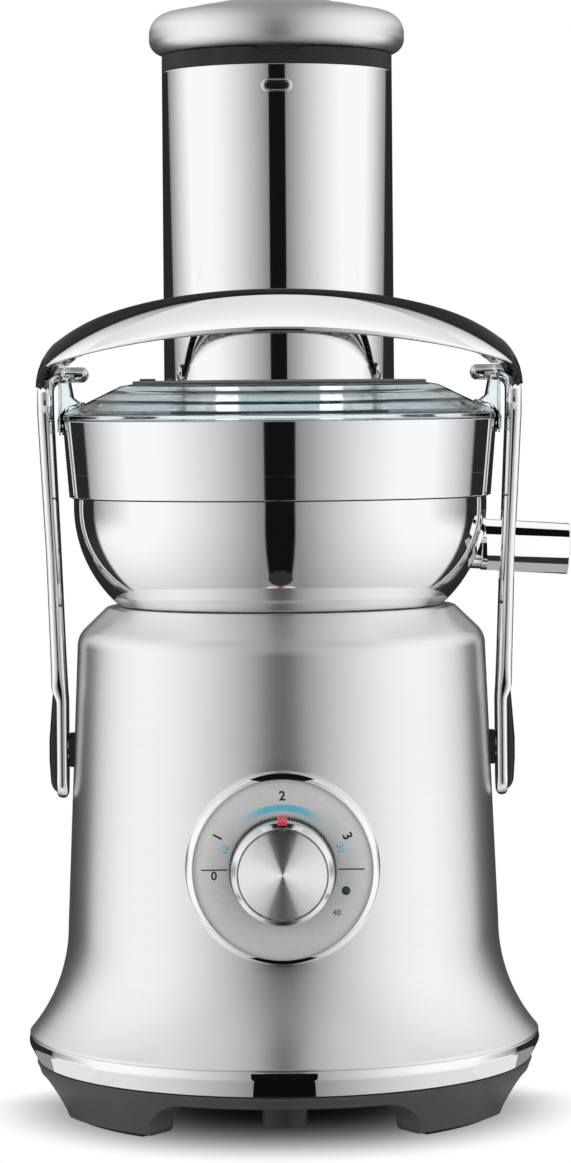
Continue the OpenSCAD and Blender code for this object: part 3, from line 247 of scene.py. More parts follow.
for name, tone, corners in (
        ("card_arm", "arm", flap(0.30, 0.30, (-0.045, -0.19), (0.3485, 0.386))),
        ("card_graded", "graded", flap(0.20, 0.20, (-0.094, -0.42), (0.299, 0.299))),
        ("card_ring", 0.004, flap(-0.0178, -0.0186, (-0.126, -0.126), (0.001, 0.034))),
        ("card_ring_foot", 0.004, flap(-0.0156, -0.0178, (-0.103, -0.126), (0.001, 0.001))),
        ("card_dial_top", 0.004, flap(0.0155, 0.0080, (-0.0905, -0.1020), (0.1495, 0.1495))),
        ("card_dial_low", 0.004, flap(-0.0160, -0.0090, (-0.0915, -0.1005), (0.0672, 0.0672))),
        ("card_disc_top", 0.03, disc(0.0245, -0.1620, -0.0430, 0.16)),
        ("card_disc_low", 0.03, disc(0.0235, -0.1740, 0.0340, 0.05)),
        ("card_ring_left", 0.28, at_side(-1, BESIDE_RING)),
        ("card_ring_right", 0.28, at_side(1, BESIDE_RING)),
        ("card_foot_left", 0.8, at_side(-1, UNDER_RING)),
        ("card_foot_right", 0.8, at_side(1, UNDER_RING)),
        ("card_spout_front", 1.05, sleeve_wall(-30, 36)), ("card_spout_top", 0.004, sleeve_wall(36, 67)),
        ("card_spout_back", 1.0, sleeve_wall(67, 117)), ("card_spout_rim", 0.08, sleeve_wall(117, 170)),
        ("card_spout_foot", 0.03, sleeve_wall(-52, -30)), ("card_spout_low", 0.42, sleeve_wall(-160, -52))):
    cover_of, cloth = space(bpy.data.materials.new(name))
    across, along, _ = axes(cloth)
    level = tone
    if tone == "arm":
        level = 1 - 0.22 * along.step(-0.12, -0.045)
    if tone == "graded":
        level = (0.16 + 0.14 * abs(across).step(0.008, 0.022)
                 + 0.62 * abs(across).step(0.0, 0.24, "LINEAR"))
    shine = cloth.node("ShaderNodeEmission", {}, {"Color": (1, 1, 1, 1), "Strength": level})
    open_air = cloth.node("ShaderNodeBsdfTransparent", {}, {"Color": (1, 1, 1, 1)})
    from_back = cloth.node("ShaderNodeNewGeometry").out("Backfacing")
    cloth.node("ShaderNodeOutputMaterial", {}, {"Surface": cloth.node(
        "ShaderNodeMixShader", {}, {0: from_back, 1: shine, 2: open_air})})
    sheet_mesh = bpy.data.meshes.new(name)
    sheet_mesh.from_pydata(corners, [], [tuple(range(len(corners)))])
    sheet_mesh.materials.append(cover_of)
    card_object = placed(name, sheet_mesh)
    for kind in ("camera", "diffuse", "transmission", "volume_scatter", "shadow"):
        setattr(card_object, "visible_" + kind, False)

# ---- Base pan ----------------------------------------------------------------------------------------
# The plastic tray that closes the motor housing from below, moulded in charcoal polypropylene with a
# fine matt texture. Its skirt is cut by four wide arches, which leave the four feet.
PAN_TOP, PAN_FOOT, PAN_H, SIDE_TOP = 102.6, 94.0, 20.7, 20.0
ARCH_R, ARCH_TOP, PAD_H = 14.0, 15.8, 2.0
FRONT_HALF, SIDE_HALF, ARCH_AT = 54.1, 38.9, 94.5
DISH_R, DISH_TOP, DISH_LOW, NUB_Y = 80.0, 15.0, 12.0, 60.0


def grid_faces(rows, columns, round_rows=False, round_columns=True):
    """Quads (i, j), (i, j+1), (i+1, j+1), (i+1, j) over a grid, joined up where it runs round."""
    i = np.arange(rows if round_rows else rows - 1)[:, None]
    j = np.arange(columns if round_columns else columns - 1)[None]
    i2, j2 = (i + 1) % rows, (j + 1) % columns
    corners = (i * columns + j, i * columns + j2, i2 * columns + j2, i2 * columns + j)
    return np.stack(np.broadcast_arrays(*corners), -1).reshape(-1, 4)


def joined(*surfaces):
    """Several (points, faces) surfaces as one, the later faces counted on from the earlier points."""
    starts = np.cumsum([0] + [len(points) for points, _ in surfaces])
    return (np.concatenate([points for points, _ in surfaces]),
            np.concatenate([faces + start for (_, faces), start in zip(surfaces, starts)]))


def piece(name, surface, finish, body, *nodes):
    """Makes a named mesh of a surface in millimetres, with coinciding points merged so that seams and
    poles are closed. It rides on its body and stands for the CAD nodes named."""
    points, faces = surface
    mesh = bpy.data.meshes.new(name)
    mesh.from_pydata((np.asarray(points) * 0.001).tolist(), [], np.asarray(faces).tolist())
    form = bmesh.new()
    form.from_mesh(mesh)
    bmesh.ops.remove_doubles(form, verts=form.verts, dist=2e-6)
    form.to_mesh(mesh)
    form.free()
    mesh.polygons.foreach_set("use_smooth", np.ones(len(mesh.polygons), bool))
    mesh.materials.append(finish)
    made = placed(name, mesh)
    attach(made, body)
    if nodes:
        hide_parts(*nodes)
    return made


def rounded(corners, steps=6, closed=True):
    """An outline from corners (x, z, radius). Each corner becomes an arc that touches both its sides,
    with one more point a little outside each end, so that the flat sides stay flat when shaded."""
    corner, radius = np.array(corners, float)[:, :2], np.array(corners, float)[:, 2]
    back, on = np.roll(corner, 1, 0) - corner, np.roll(corner, -1, 0) - corner
    back_len, on_len = np.linalg.norm(back, axis=1), np.linalg.norm(on, axis=1)
    back, on = back / back_len[:, None], on / on_len[:, None]
    half = np.arccos(np.clip((back * on).sum(1), -1, 1)) / 2
    reach = radius / np.tan(half)
    middle = (back + on) / np.linalg.norm(back + on, axis=1)[:, None]
    centre = corner + middle * (radius / np.sin(half))[:, None]
    start, end = corner + back * reach[:, None], corner + on * reach[:, None]
    a0 = np.arctan2(*(start - centre).T[::-1])
    sweep = (np.arctan2(*(end - centre).T[::-1]) - a0 + np.pi) % (2 * np.pi) - np.pi
    t = a0[:, None] + sweep[:, None] * np.linspace(0, 1, steps + 1)
    arc = centre[:, None] + radius[:, None, None] * np.stack([np.cos(t), np.sin(t)], -1)
    guard = np.minimum(0.25, 0.3 * np.minimum(back_len, on_len))[:, None]
    line = np.concatenate([(start + back * guard)[:, None], arc, (end + on * guard)[:, None]], 1)
    if not closed:
        return np.concatenate([corner[:1], line[1:-1].reshape(-1, 2), corner[-1:]])
    return line.reshape(-1, 2)


def anticlockwise(outline):
    """The outline, put the other way round where the area inside it comes out negative."""
    outline = np.asarray(outline, float)
    x, z = outline.T
    area = (x * np.roll(z, -1) - np.roll(x, -1) * z).sum() / 2
    return outline[::-1] if area < 0 else outline


def turned(outline, closed=True, around=192, first=0.0, last=360.0):
    """Sweeps each outline point (x, z) round Z: (x cos t, x sin t, z). A closed outline is put
    anticlockwise, so that the faces point outwards. The ends of a part turn are drawn to their middles."""
    outline = anticlockwise(outline) if closed else np.asarray(outline, float)
    whole = last - first >= 360
    t = np.radians(np.linspace(first, last, around, endpoint=not whole))
    x, z = np.repeat(outline[:, :1], around, 1), np.repeat(outline[:, 1:], around, 1)
    if not whole:
        x, z, t = (np.pad(v, ((0, 0), (1, 1)), "edge") for v in (x, z, np.broadcast_to(t, x.shape)))
        x[:, [0, -1]], z[:, [0, -1]] = outline.mean(0)
    points = np.stack([x * np.cos(t), x * np.sin(t), z], -1)
    return points.reshape(-1, 3), grid_faces(*x.shape, closed, whole)


def finish(name, values, colour, rough, bump=None, normal=None):
    """A material with one Principled shader. The values are constants on its own sockets; the rest are
    functions of the material's Shade that give what changes over the surface."""
    material, shade = space(bpy.data.materials.new(name))
    inputs = {**values, "Base Color": colour(shade), "Roughness": rough(shade)}
    if normal:
        inputs["Normal"] = normal(shade)
    if bump:
        depth, height = bump(shade)
        inputs["Normal"] = shade.node("ShaderNodeBump", {}, {"Height": height, "Distance": depth,
                                                             "Strength": 1.0})
    shade.node("ShaderNodeOutputMaterial", {}, {
        "Surface": shade.node("ShaderNodeBsdfPrincipled", {}, inputs)})
    return material


def noise(shade, scale, detail=2.0, stretch=(1.0, 1.0, 1.0)):
    """Noise of about 0 to 1 in object space, its grain drawn out along an axis with a small stretch."""
    at = shade.node("ShaderNodeMapping", {}, {"Vector": shade.place, "Scale": stretch})
    return shade.node("ShaderNodeTexNoise", {}, {"Vector": at, "Scale": scale, "Detail": detail})


def between(shade, share, low, high):
    """A colour that goes from low to high as the share goes from 0 to 1."""
    return shade.node("ShaderNodeMix", {"data_type": "RGBA"}, {0: share, 6: (*low, 1), 7: (*high, 1)}, 2)


def even(name, values, tint, rough, bump=None):
    """A finish of three noises, each given as scale, detail and stretch. The first goes between the tint's
    two colours, a share of the second is added to the least roughness, and the third, where there is one,
    is the height of a bump of a given depth."""
    grain, low, high = tint
    return finish(name, values, colour=lambda s: between(s, noise(s, *grain), low, high),
                  rough=lambda s: rough[0] + rough[1] * noise(s, *rough[2:]),
                  bump=bump and (lambda s: (bump[0], noise(s, *bump[1:]))))


pan_plastic = even("base_plastic", {"Specular IOR Level": 0.42, "IOR": 1.47},
                   ([60.0, 3.0], (0.042, 0.043, 0.046), (0.062, 0.063, 0.067)),
                   (0.42, 0.14, 300.0), (0.00004, 2600.0, 1.0))


def skirt_radius(z):
    """The skirt's outer radius, on a straight line from its foot up to its top."""
    return PAN_FOOT + (PAN_TOP - PAN_FOOT) * z / PAN_H


def arch_height(offset, half):
    """Height of the pan's lower edge beside an arch's middle: flat in the arch, a quarter circle down at
    its end, and the height of the rubber pad under the foot."""
    side = np.clip(np.abs(offset) - half + ARCH_R, 0, ARCH_R)
    height = ARCH_TOP - ARCH_R + np.sqrt(np.maximum(ARCH_R ** 2 - side ** 2, 0))
    return np.where(np.abs(offset) < half, np.maximum(height, PAD_H), PAD_H)


def lower_edge(turn):
    """Height of the pan's lower edge at each angle round the base, from the nearer pair of arches. The
    edge's radius depends on its height, so the two are worked out in turn a few times."""
    low = np.full_like(turn, PAD_H)
    for _ in range(6):
        radius = skirt_radius(low)
        low = np.maximum(arch_height(radius * np.sin(turn), FRONT_HALF) * (np.abs(np.cos(turn)) > 0.5),
                         arch_height(radius * np.cos(turn), SIDE_HALF) * (np.abs(np.cos(turn)) <= 0.5))
    return low


quarter = np.sin(np.radians(np.linspace(0, 90, 40)))
ends_front = np.arcsin((FRONT_HALF - ARCH_R * (1 - quarter)) / ARCH_AT)
ends_side = np.arccos((SIDE_HALF - ARCH_R * (1 - quarter)) / ARCH_AT)
turn = np.concatenate([ends_front, ends_side, np.radians(np.linspace(0, 90, 120))])
turn = np.unique(np.round(np.concatenate([turn, np.pi - turn, np.pi + turn, 2 * np.pi - turn]), 5))
turn = turn[turn < 2 * np.pi - 1e-4]
low = lower_edge(turn)
edge = 1.3
bend = np.radians(np.linspace(0, 90, 6))[:, None]
foot_r = skirt_radius(low + edge)
side = [SIDE_TOP + (low + edge + 0.4 - SIDE_TOP) * share for share in (0.0, 0.33, 0.66, 1.0)]
rows = [(PAN_TOP - 2.8, SIDE_TOP + 0.2), (PAN_TOP - 0.5, SIDE_TOP + 0.6)]
rows += [(skirt_radius(z), z) for z in side]
rows += [(foot_r - edge * (1 - np.cos(b)), low + edge * (1 - np.sin(b))) for b in bend]
rows += [(DISH_R + 1.5, low), (DISH_R, low + 0.8), (DISH_R, np.maximum(low, DISH_TOP - 0.6)),
         (DISH_R - 1.0, DISH_TOP - 0.1), (DISH_R / 2, 13.5), (0.0, DISH_LOW)]
radius, height = (np.stack([np.broadcast_to(v, turn.shape) for v in column])[::-1] for column in zip(*rows))
skirt = (np.stack([radius * np.sin(turn), -radius * np.cos(turn), height], -1).reshape(-1, 3),
         grid_faces(len(rows), len(turn)))
nub = turned(rounded([(4, 3, 0.4), (9, 3, 0.8), (9, 15.5, 0.4), (4, 15.5, 0.4)]), around=64)
nub[0][:, 1] -= NUB_Y
piece("base_pan_moulding", joined(skirt, nub), pan_plastic, "base", "base_pan")

# ---- Foot pads ---------------------------------------------------------------------------------------
# Pads cut from black rubber, one pressed into the sole of each foot, that keep the juicer from
# sliding.
rubber = even("foot_rubber", {"Specular IOR Level": 0.3},
              ([150.0], (0.012, 0.012, 0.013), (0.022, 0.022, 0.023)), (0.7, 0.2, 500.0), (0.00005, 1800.0))
PAD_HALF, PAD_AT = 11.5, 39.5
pad_outline = rounded([(81, 0, 0.5), (90, 0, 0.5), (90.2, 2.2, 0.3), (81, 2.2, 0.3)], 3)
pads = [turned(pad_outline, around=24, first=middle - PAD_HALF, last=middle + PAD_HALF)
        for middle in (PAD_AT - 180, -PAD_AT, PAD_AT, 180 - PAD_AT)]
piece("rubber_feet", joined(*pads), rubber, "base", "foot_pads")

# ---- Base ring ---------------------------------------------------------------------------------------
# A chrome-plated trim ring between the steel housing and the plastic base. It is held by the same four
# screws as the base, and swells to its widest just under the housing's lip.
chrome = even("chrome", {"Metallic": 1.0, "IOR": 2.0},
              ([25.0], (0.93, 0.935, 0.94), (0.96, 0.963, 0.965)), (0.02, 0.03, 90.0, 3.0), (0.000004, 40.0))
ring_outline = rounded([(82, 29.4, 0.3), (99.6, 29.4, 0.3), (99.4, 20.9, 0.4), (101.7, 20.7, 0.7),
                        (105.6, 28.2, 3.0), (105.1, 31.4, 0.6), (82, 31.4, 0.3)], 10)
piece("trim_ring", turned(ring_outline, around=256), chrome, "base", "base_ring")

# ---- Housing -----------------------------------------------------------------------------------------
# The motor housing is one deep-drawn steel shell, 1.2 mm thick, with a slanted shoulder and a foot that
# flares out. It was brushed as it turned, so fine lines run round it.
HOUSING_Z, FLARE_Z, SHOULDER_Z, DECK_Z = 31.4, 76.0, 190.8, 207.0
LIP_R, FLARE_TOP, WAIST, FLARE, FLARE_ANGLE = 105.2, 89.0, 84.4, 67.69, 40.45
SHOULDER, SLANT, DECK_EDGE, DECK_R, DECK_HOLE, STEEL = 10.0, 46, 2.5, 71.0, 54.0, 1.2


def housing_line(inset):
    """The housing's outline drawn in by a distance, from the lip up to the deck: the flare is an arc about
    a centre outside the housing, then a cone, then the shoulder's arc, a slant and the deck's edge."""
    a = np.radians(np.linspace(FLARE_ANGLE, 0, 48))
    flare = np.stack([FLARE_TOP + FLARE - (FLARE + inset) * np.cos(a),
                      FLARE_Z - (FLARE + inset) * np.sin(a)], -1)
    flare = flare[flare[:, 1] > HOUSING_Z + 0.4]
    side = np.linspace((FLARE_TOP - inset, FLARE_Z), (WAIST - inset, SHOULDER_Z), 10)[1:]
    a = np.radians(np.linspace(0, SLANT, 20))[1:]
    bend = np.stack([WAIST - SHOULDER + (SHOULDER - inset) * np.cos(a),
                     SHOULDER_Z + (SHOULDER - inset) * np.sin(a)], -1)
    a = np.radians(np.linspace(SLANT, 90, 12))
    edge = np.stack([DECK_R + (DECK_EDGE - inset) * np.cos(a),
                     DECK_Z - DECK_EDGE + (DECK_EDGE - inset) * np.sin(a)], -1)
    return np.concatenate([flare, side, bend, edge])


def steel_lines(shade):
    """Brush lines round the axis: noise drawn out hugely round the housing and very fine up it."""
    return noise(shade, 1.0, 3.0, (45.0, 45.0, 5200.0))


brushed = finish(
    "brushed_steel", {"Metallic": 1.0, "Anisotropic": 0.72, "Anisotropic Rotation": 0.25, "IOR": 2.0},
    colour=lambda s: between(s, 0.6 * steel_lines(s) + 0.4 * noise(s, 9.0, 3.0),
                             (0.84, 0.845, 0.85), (0.99, 0.992, 0.995)),
    rough=lambda s: 0.28 + 0.12 * steel_lines(s),
    bump=lambda s: (0.000012, steel_lines(s)))
outside, inside = housing_line(0.0), housing_line(STEEL)
lip = [(LIP_R - 1.0, HOUSING_Z + 0.05), (LIP_R - 0.3, HOUSING_Z), (LIP_R, HOUSING_Z + 0.3)]
hole = [(DECK_HOLE + 0.3, DECK_Z), (DECK_HOLE, DECK_Z - 0.3), (DECK_HOLE, DECK_Z - STEEL)]
shell_outline = np.concatenate([lip, outside, hole, inside[::-1]])
piece("housing", turned(shell_outline, around=256), brushed, "base", "housing_shell")

# ---- Dial bezel and plate ----------------------------------------------------------------------------
# A chrome ring stands round the speed dial, and frames a satin silver plate printed with numbers, two
# fine lines and a light arc. Both are pushed into the housing from the front.
DIAL_Z, PLATE_Y, BEZEL_Y, BEZEL_R, BEZEL_IN, BOW = 108.4, 92.4, 94.0, 38.4, 35.2, 6.05


def facing(surface, depth=0.0):
    """Turns a surface that was built round Z so that its Z points forwards from the dial: (x, y, z)
    goes to (x, -(depth + z), dial height + y)."""
    points, faces = surface
    x, y, z = points.T
    return np.stack([x, -(depth + z), DIAL_Z + y], -1), faces


bow = np.radians(np.linspace(76, 28, 16))
front = np.stack([BEZEL_R - 0.05 + BOW * (np.sin(bow) - np.sin(bow[0])),
                  BEZEL_Y + BOW * (np.cos(bow) - np.cos(bow[-1]))], -1)
bezel_outline = np.concatenate([
    [(BEZEL_IN, 80), (BEZEL_R, 80), (BEZEL_R, 90.0)], front,
    [(BEZEL_IN + 0.12, BEZEL_Y - 0.05), (BEZEL_IN, BEZEL_Y - 0.3), (BEZEL_IN, PLATE_Y - 0.2)]])
piece("dial_trim", facing(turned(bezel_outline)), chrome, "base", "dial_bezel")


def outwards(shade, x, z):
    """The way in the dial's plane from a point (x, z) given in metres: the place less it, with y left out."""
    away = shade.vector("SUBTRACT", {0: shade.place, 1: (x, 0, z)})
    return shade.vector("MULTIPLY", {0: away, 1: (1, 0, 1)})


def radial(shade, x, z):
    """Distance in the dial's plane from a point (x, z) given in metres."""
    return shade.vector("LENGTH", {0: outwards(shade, x, z)}, "Value")


def ring_mask(distance, radius, half, soft):
    """1 within half of a radius, falling to 0 over the soft width."""
    return 1 - abs(distance - radius).step(half - soft, half + soft)


def plate_colour(s):
    """Satin silver with a faint spun grain, and a light blue arc over the knob that fades to its ends."""
    x, _, z = axes(s)
    out = radial(s, 0.0, DIAL_Z / 1000)
    lean = s.math("DIVIDE", abs(x), out)
    arc = (ring_mask(out, 0.0242, 0.0013, 0.0002) * (1 - lean.step(0.25, 0.75))
           * z.step(DIAL_Z / 1000, DIAL_Z / 1000 + 0.001))
    silver = between(s, noise(s, 700.0, 2.0), (0.80, 0.805, 0.81), (0.90, 0.905, 0.91))
    light_blue = (0.15, 0.76, 1.0, 1)
    return s.node("ShaderNodeMix", {"data_type": "RGBA"}, {0: arc * 0.95, 6: silver, 7: light_blue}, 2)


plate_silver = finish("plate_silver", {"Metallic": 0.55, "IOR": 1.6},
                      colour=plate_colour, rough=lambda s: 0.34 + 0.10 * noise(s, 500.0),
                      bump=lambda s: (0.000008, noise(s, 1500.0)))
plate_outline = [(0.0, PLATE_Y - 1.5), (35.1, PLATE_Y - 1.5), (35.15, PLATE_Y - 0.05), (35.05, PLATE_Y),
                 (25.0, PLATE_Y), (12.0, PLATE_Y), (0.0, PLATE_Y)]
piece("dial_face", facing(turned(plate_outline, closed=False)), plate_silver, "base", "dial_plate")

# ---- Dial numbers ------------------------------------------------------------------------------------
# Plain numbers, pad-printed on the plate: in black, 0 beside the left line and 1, 2 and 3 round the top;
# in light blue, 10 and 30 inside them; in grey, 40 by the lamp; and a short line at each side.
ink, blue, grey_ink = (
    even(name, {"Specular IOR Level": 0.3}, ([900.0], low, high), (0.5, 0.2, 1200.0))
    for name, low, high in (("black_ink", (0.010, 0.010, 0.012), (0.030, 0.030, 0.032)),
                            ("blue_ink", (0.13, 0.52, 0.90), (0.17, 0.58, 0.94)),
                            ("grey_ink", (0.16, 0.16, 0.165), (0.22, 0.22, 0.225))))


def printed(text, size, angle, reach, turn_with=True):
    """A number as a thin mesh on the plate: its outline is filled and given a depth of 0.05 mm, centred,
    turned with its angle from the top, and carried out to its radius."""
    curve = bpy.data.curves.new(f"number_{text}", "FONT")
    curve.body, curve.size, curve.extrude = text, size, 0.025
    curve.align_x, curve.align_y, curve.offset = "CENTER", "CENTER", 0.022 * size
    holder = placed(f"number_{text}", curve)
    bpy.context.view_layer.update()
    shape = holder.evaluated_get(bpy.context.evaluated_depsgraph_get()).to_mesh()
    shape.calc_loop_triangles()
    points = np.array([v.co for v in shape.vertices])
    faces = np.array([t.vertices for t in shape.loop_triangles])
    bpy.data.objects.remove(holder)
    points[:, :2] -= (points[:, :2].min(0) + points[:, :2].max(0)) / 2
    angle = np.radians(angle)
    lean = -angle if turn_with else 0.0
    wide, tall, thick = points.T
    x = wide * np.cos(lean) - tall * np.sin(lean) + reach * np.sin(angle)
    y = wide * np.sin(lean) + tall * np.cos(lean) + reach * np.cos(angle)
    return np.stack([x, y, thick + 0.03], -1), faces


def bar(x0, x1, y0, y1, depth):
    """A thin printed bar between two corners, raised by its depth."""
    p = np.array([(x, y, z) for z in (0, depth) for x, y in ((x0, y0), (x1, y0), (x1, y1), (x0, y1))])
    return p, np.array([(3, 2, 1, 0), (4, 5, 6, 7), (0, 1, 5, 4), (1, 2, 6, 5), (2, 3, 7, 6), (3, 0, 4, 7)])


marks = [
    (printed("1", 5.2, -63, 28.6), ink), (printed("2", 5.2, 0, 28.9), ink),
    (printed("3", 5.2, 63, 28.6), ink), (printed("0", 4.6, -94.8, 27.0, False), ink),
    (bar(-32.0, -21.8, -0.25, 0.25, 0.055), ink), (bar(21.8, 32.0, -0.25, 0.25, 0.055), ink),
    (printed("10", 3.7, -70, 24.3), blue), (printed("30", 3.7, 70, 24.3), blue),
    (printed("40", 3.2, 129, 27.0, False), grey_ink)]
for number, (mark, ink_of) in enumerate(marks):
    piece(f"dial_mark_{number}", facing(mark, PLATE_Y), ink_of, "base")

# ---- Status lens -------------------------------------------------------------------------------------
# A small lens moulded in dark green plastic over the overload lamp, in a black rim. It is pressed into
# the plate beside the knob.
LENS_X, LENS_DROP = 24.7, 8.4
green = finish("green_lens", {"Coat Weight": 0.6, "Coat Roughness": 0.05, "IOR": 1.5},
               colour=lambda s: between(s, radial(s, LENS_X / 1000, 0.1).step(0.0009, 0.0014),
                                        (0.004, 0.060, 0.040), (0.008, 0.012, 0.011)),
               rough=lambda s: 0.15 + 0.1 * noise(s, 900.0))
lens_outline = [(0.0, -1.4), (1.7, -1.4), (1.7, 0.12), (1.5, 0.34), (1.25, 0.28), (0.9, 0.5), (0.0, 0.62)]
lens = turned(lens_outline, closed=False, around=48)
lens[0][:, :2] += (LENS_X, -LENS_DROP)
piece("overload_lens", facing(lens, PLATE_Y), green, "base", "status_lens")

# ---- Knob --------------------------------------------------------------------------------------------
# The speed knob is turned from aluminium: a polished skirt that narrows to the front, a fine knurl round
# its foot, and a front disc that was spun-brushed, which gives it the bright and dark wedges of light.
KNOB_BACK, KNOB_Y = 92.9, 95.5
knob_silver = even("knob_silver", {"Metallic": 1.0, "IOR": 2.0},
                   ([40.0], (0.88, 0.885, 0.89), (0.94, 0.943, 0.945)),
                   (0.10, 0.06, 300.0), (0.000004, 200.0))
knob_outline = rounded([(13, 2.0, 0.3), (20.3, 2.0, 0.2), (20.3, 6.0, 1.2), (20.1, 12.7, 2.2),
                        (18.0, 16.4, 0.6), (17.4, 16.2, 0.2), (17.2, 15.7, 0.1), (13, 15.7, 0.3)], 8)
piece("knob", facing(turned(knob_outline), KNOB_Y), knob_silver, "dial", "knob_body")


def spun_normal(s):
    """The disc's normal leans in and out along the radius in a fine sine wave of the distance from its
    centre, as the grooves of a spun finish do."""
    out = s.vector("NORMALIZE", {0: outwards(s, 0.0, DIAL_Z / 1000)})
    turns = radial(s, 0.0, DIAL_Z / 1000) * 21000.0
    swell = turns.math("SINE", turns) * 0.9 + 0.5
    wave = 1.14 * s.math("MULTIPLY", swell, 1.0, True) - 0.57 + 0.20 * (noise(s, 4000.0, 1.0) - 0.5)
    lean = s.vector("SCALE", {0: out, "Scale": wave})
    return s.vector("NORMALIZE", {0: s.vector("ADD", {0: lean, 1: (0, -1, 0)})})


spun = finish("spun_aluminium", {"Metallic": 1.0, "IOR": 2.0},
              colour=lambda s: between(s, noise(s, 300.0), (0.93, 0.935, 0.94), (0.99, 0.99, 0.99)),
              rough=lambda s: 0.12 + 0.05 * noise(s, 800.0), normal=spun_normal)
disc_outline = [(0.0, 15.6), (17.2, 15.6), (17.22, 16.1), (17.0, 16.25), (11.0, 16.25), (5.0, 16.25),
                (0.0, 16.25)]
piece("knob_disc", facing(turned(disc_outline, closed=False), KNOB_Y), spun, "dial", "knob_face")

knurl = even("dark_knurl", {"Metallic": 1.0, "IOR": 2.0},
             ([400.0], (0.05, 0.05, 0.052), (0.12, 0.12, 0.122)), (0.20, 0.15, 600.0), (0.00001, 900.0))
GROOVES, GROOVE_DEPTH = 120, 0.02
grooves = turned([(17.3, 0.0), (20.8, 0.0), (21.15, 0.35), (21.2, 3.0), (21.1, 4.9), (20.8, 5.3),
                  (17.3, 5.3)], around=8 * GROOVES)
x, y, _ = grooves[0].T
wave = 0.5 + 0.5 * np.cos(GROOVES * np.arctan2(y, x))
cut = 1 - GROOVE_DEPTH * wave * (np.hypot(x, y) > 20)
grooves[0][:, :2] *= cut[:, None]
piece("knob_knurl", facing(grooves, KNOB_BACK), knurl, "dial", "knob_grip_ring")

# ---- Knob marker -------------------------------------------------------------------------------------
# A strip moulded in bright red plastic and clipped into the knob's top, where it crosses the knurl and
# the skirt. It points at the number that is set.
red = even("red_marker", {"Coat Weight": 0.3, "Coat Roughness": 0.1, "IOR": 1.5},
           ([700.0], (0.62, 0.012, 0.03), (0.72, 0.02, 0.045)), (0.35, 0.1, 900.0), (0.00001, 1500.0))


def capped(rings, turn_over=False):
    """A surface of rings in a row (ring, point, xyz), its first and last ring closed to their middles. It
    is turned over where the rings run the other way round, so that its faces point outwards."""
    ends = rings[[0, -1]].mean(1, keepdims=True).repeat(rings.shape[1], 1)
    rings = np.concatenate([ends[:1], rings, ends[1:]])
    faces = grid_faces(*rings.shape[:2])
    return rings.reshape(-1, 3), faces[:, ::-1] if turn_over else faces


MARKER_HALF, MARKER_DEPTH = 1.8, 1.5
u, v = np.meshgrid(np.linspace(-1, 1, 13), np.linspace(0, 1, 13))
path = np.array([(21.25, -1.8), (21.3, 1.0), (21.2, 2.6), (20.7, 6.0), (20.35, 11.6), (20.0, 13.0),
                 (19.2, 14.2)])
share = np.linspace(0, 1, len(path))
out_r, out_t = np.interp(v, share, path[:, 0] + 0.12), np.interp(v, share, path[:, 1] + 0.05)
half = MARKER_HALF * np.sign(u) * np.abs(u) ** 0.9
top_face = np.stack([half, np.sqrt(np.maximum(out_r ** 2 - half ** 2, 0)), out_t], -1)
under = np.stack([half, np.sqrt(np.maximum((out_r - MARKER_DEPTH) ** 2 - half ** 2, 0)), out_t - 0.8 * v], -1)
strip = capped(np.concatenate([top_face, under[:, ::-1]], 1), turn_over=True)
piece("marker", facing(strip, KNOB_Y), red, "dial", "knob_marker")

# ---- Locking arm straps ------------------------------------------------------------------------------
# The arm is a bright-chromed zinc casting. Two straps rise from the pivots at the housing's sides, each
# with a round paddle at its foot, and bend inwards at the top over the pins that press on the cover.
PIVOT_Z, RIM_Z, PIN_Z, TOP_X, TOP_BEND = 147.6, 284.0, 303.0, 90.0, 7.0


def section(half_thick, half_wide, corner, steps=6):
    """Rounded rectangles, one for each station: (across, side) offsets round the section, from four
    quarter circles whose radius is no more than the corner or the halves."""
    corner = np.minimum(np.minimum(half_thick, half_wide) * 0.999, corner)[:, None]
    a = np.radians(np.linspace(0, 90, steps + 1))
    blocks = []
    for k, (sx, sy) in enumerate(((1, 1), (-1, 1), (-1, -1), (1, -1))):
        t = a + k * np.pi / 2
        blocks.append(np.stack([sx * (half_thick[:, None] - corner) + corner * np.cos(t),
                                sy * (half_wide[:, None] - corner) + corner * np.sin(t)], -1))
    return np.concatenate(blocks, 1)


def swept(centre, normal, rings):
    """Carries a ring of offsets along a path in the XZ plane: centre + across * normal, and the side
    offset along Y. The first and last rings are closed to their middles."""
    points = np.zeros(rings.shape[:2] + (3,))
    points[..., 0] = centre[:, :1] + rings[..., 0] * normal[:, :1]
    points[..., 2] = centre[:, 1:] + rings[..., 0] * normal[:, 1:]
    points[..., 1] = rings[..., 1]
    return capped(points)


def both_sides(surface):
    """The surface and its copy turned half a turn round Z, for the other side."""
    points, faces = surface
    return joined(surface, (points * (-1, -1, 1), faces))


z = np.concatenate([127.7 + 2.2 * (1 - np.cos(np.radians(np.linspace(8, 90, 8)))),
                    np.linspace(130.4, 150, 14), np.linspace(151, 168, 8), np.linspace(169, 175, 9),
                    np.linspace(178, 294, 30)])
inner = np.interp(z, [127, 168, 173, 227, 287, 296], [88.6, 88.6, 88.9, 91.0, 93.7, 93.75])
outer = np.interp(z, [127, 168.5, 173.5, 227, 287, 296], [93.1, 93.1, 95.1, 96.9, 100.2, 100.25])
smooth = np.convolve(np.pad(outer, 2, "edge"), [0.1, 0.2, 0.4, 0.2, 0.1], "valid")
outer = np.where(np.abs(z - 171) < 6, smooth, outer)
paddle = np.sqrt(np.maximum(100.0 - np.maximum(137.7 - z, 0) ** 2, 0))
wide = np.minimum(paddle, np.interp(z, [164.6, 186, 290, 300], [10, 8, 8, 7.2]))
end_round = np.sqrt(1 - np.clip((129.9 - z) / 2.25, 0, 1) ** 2)
thick = (outer - inner) / 2 * np.maximum(end_round, 0.25)
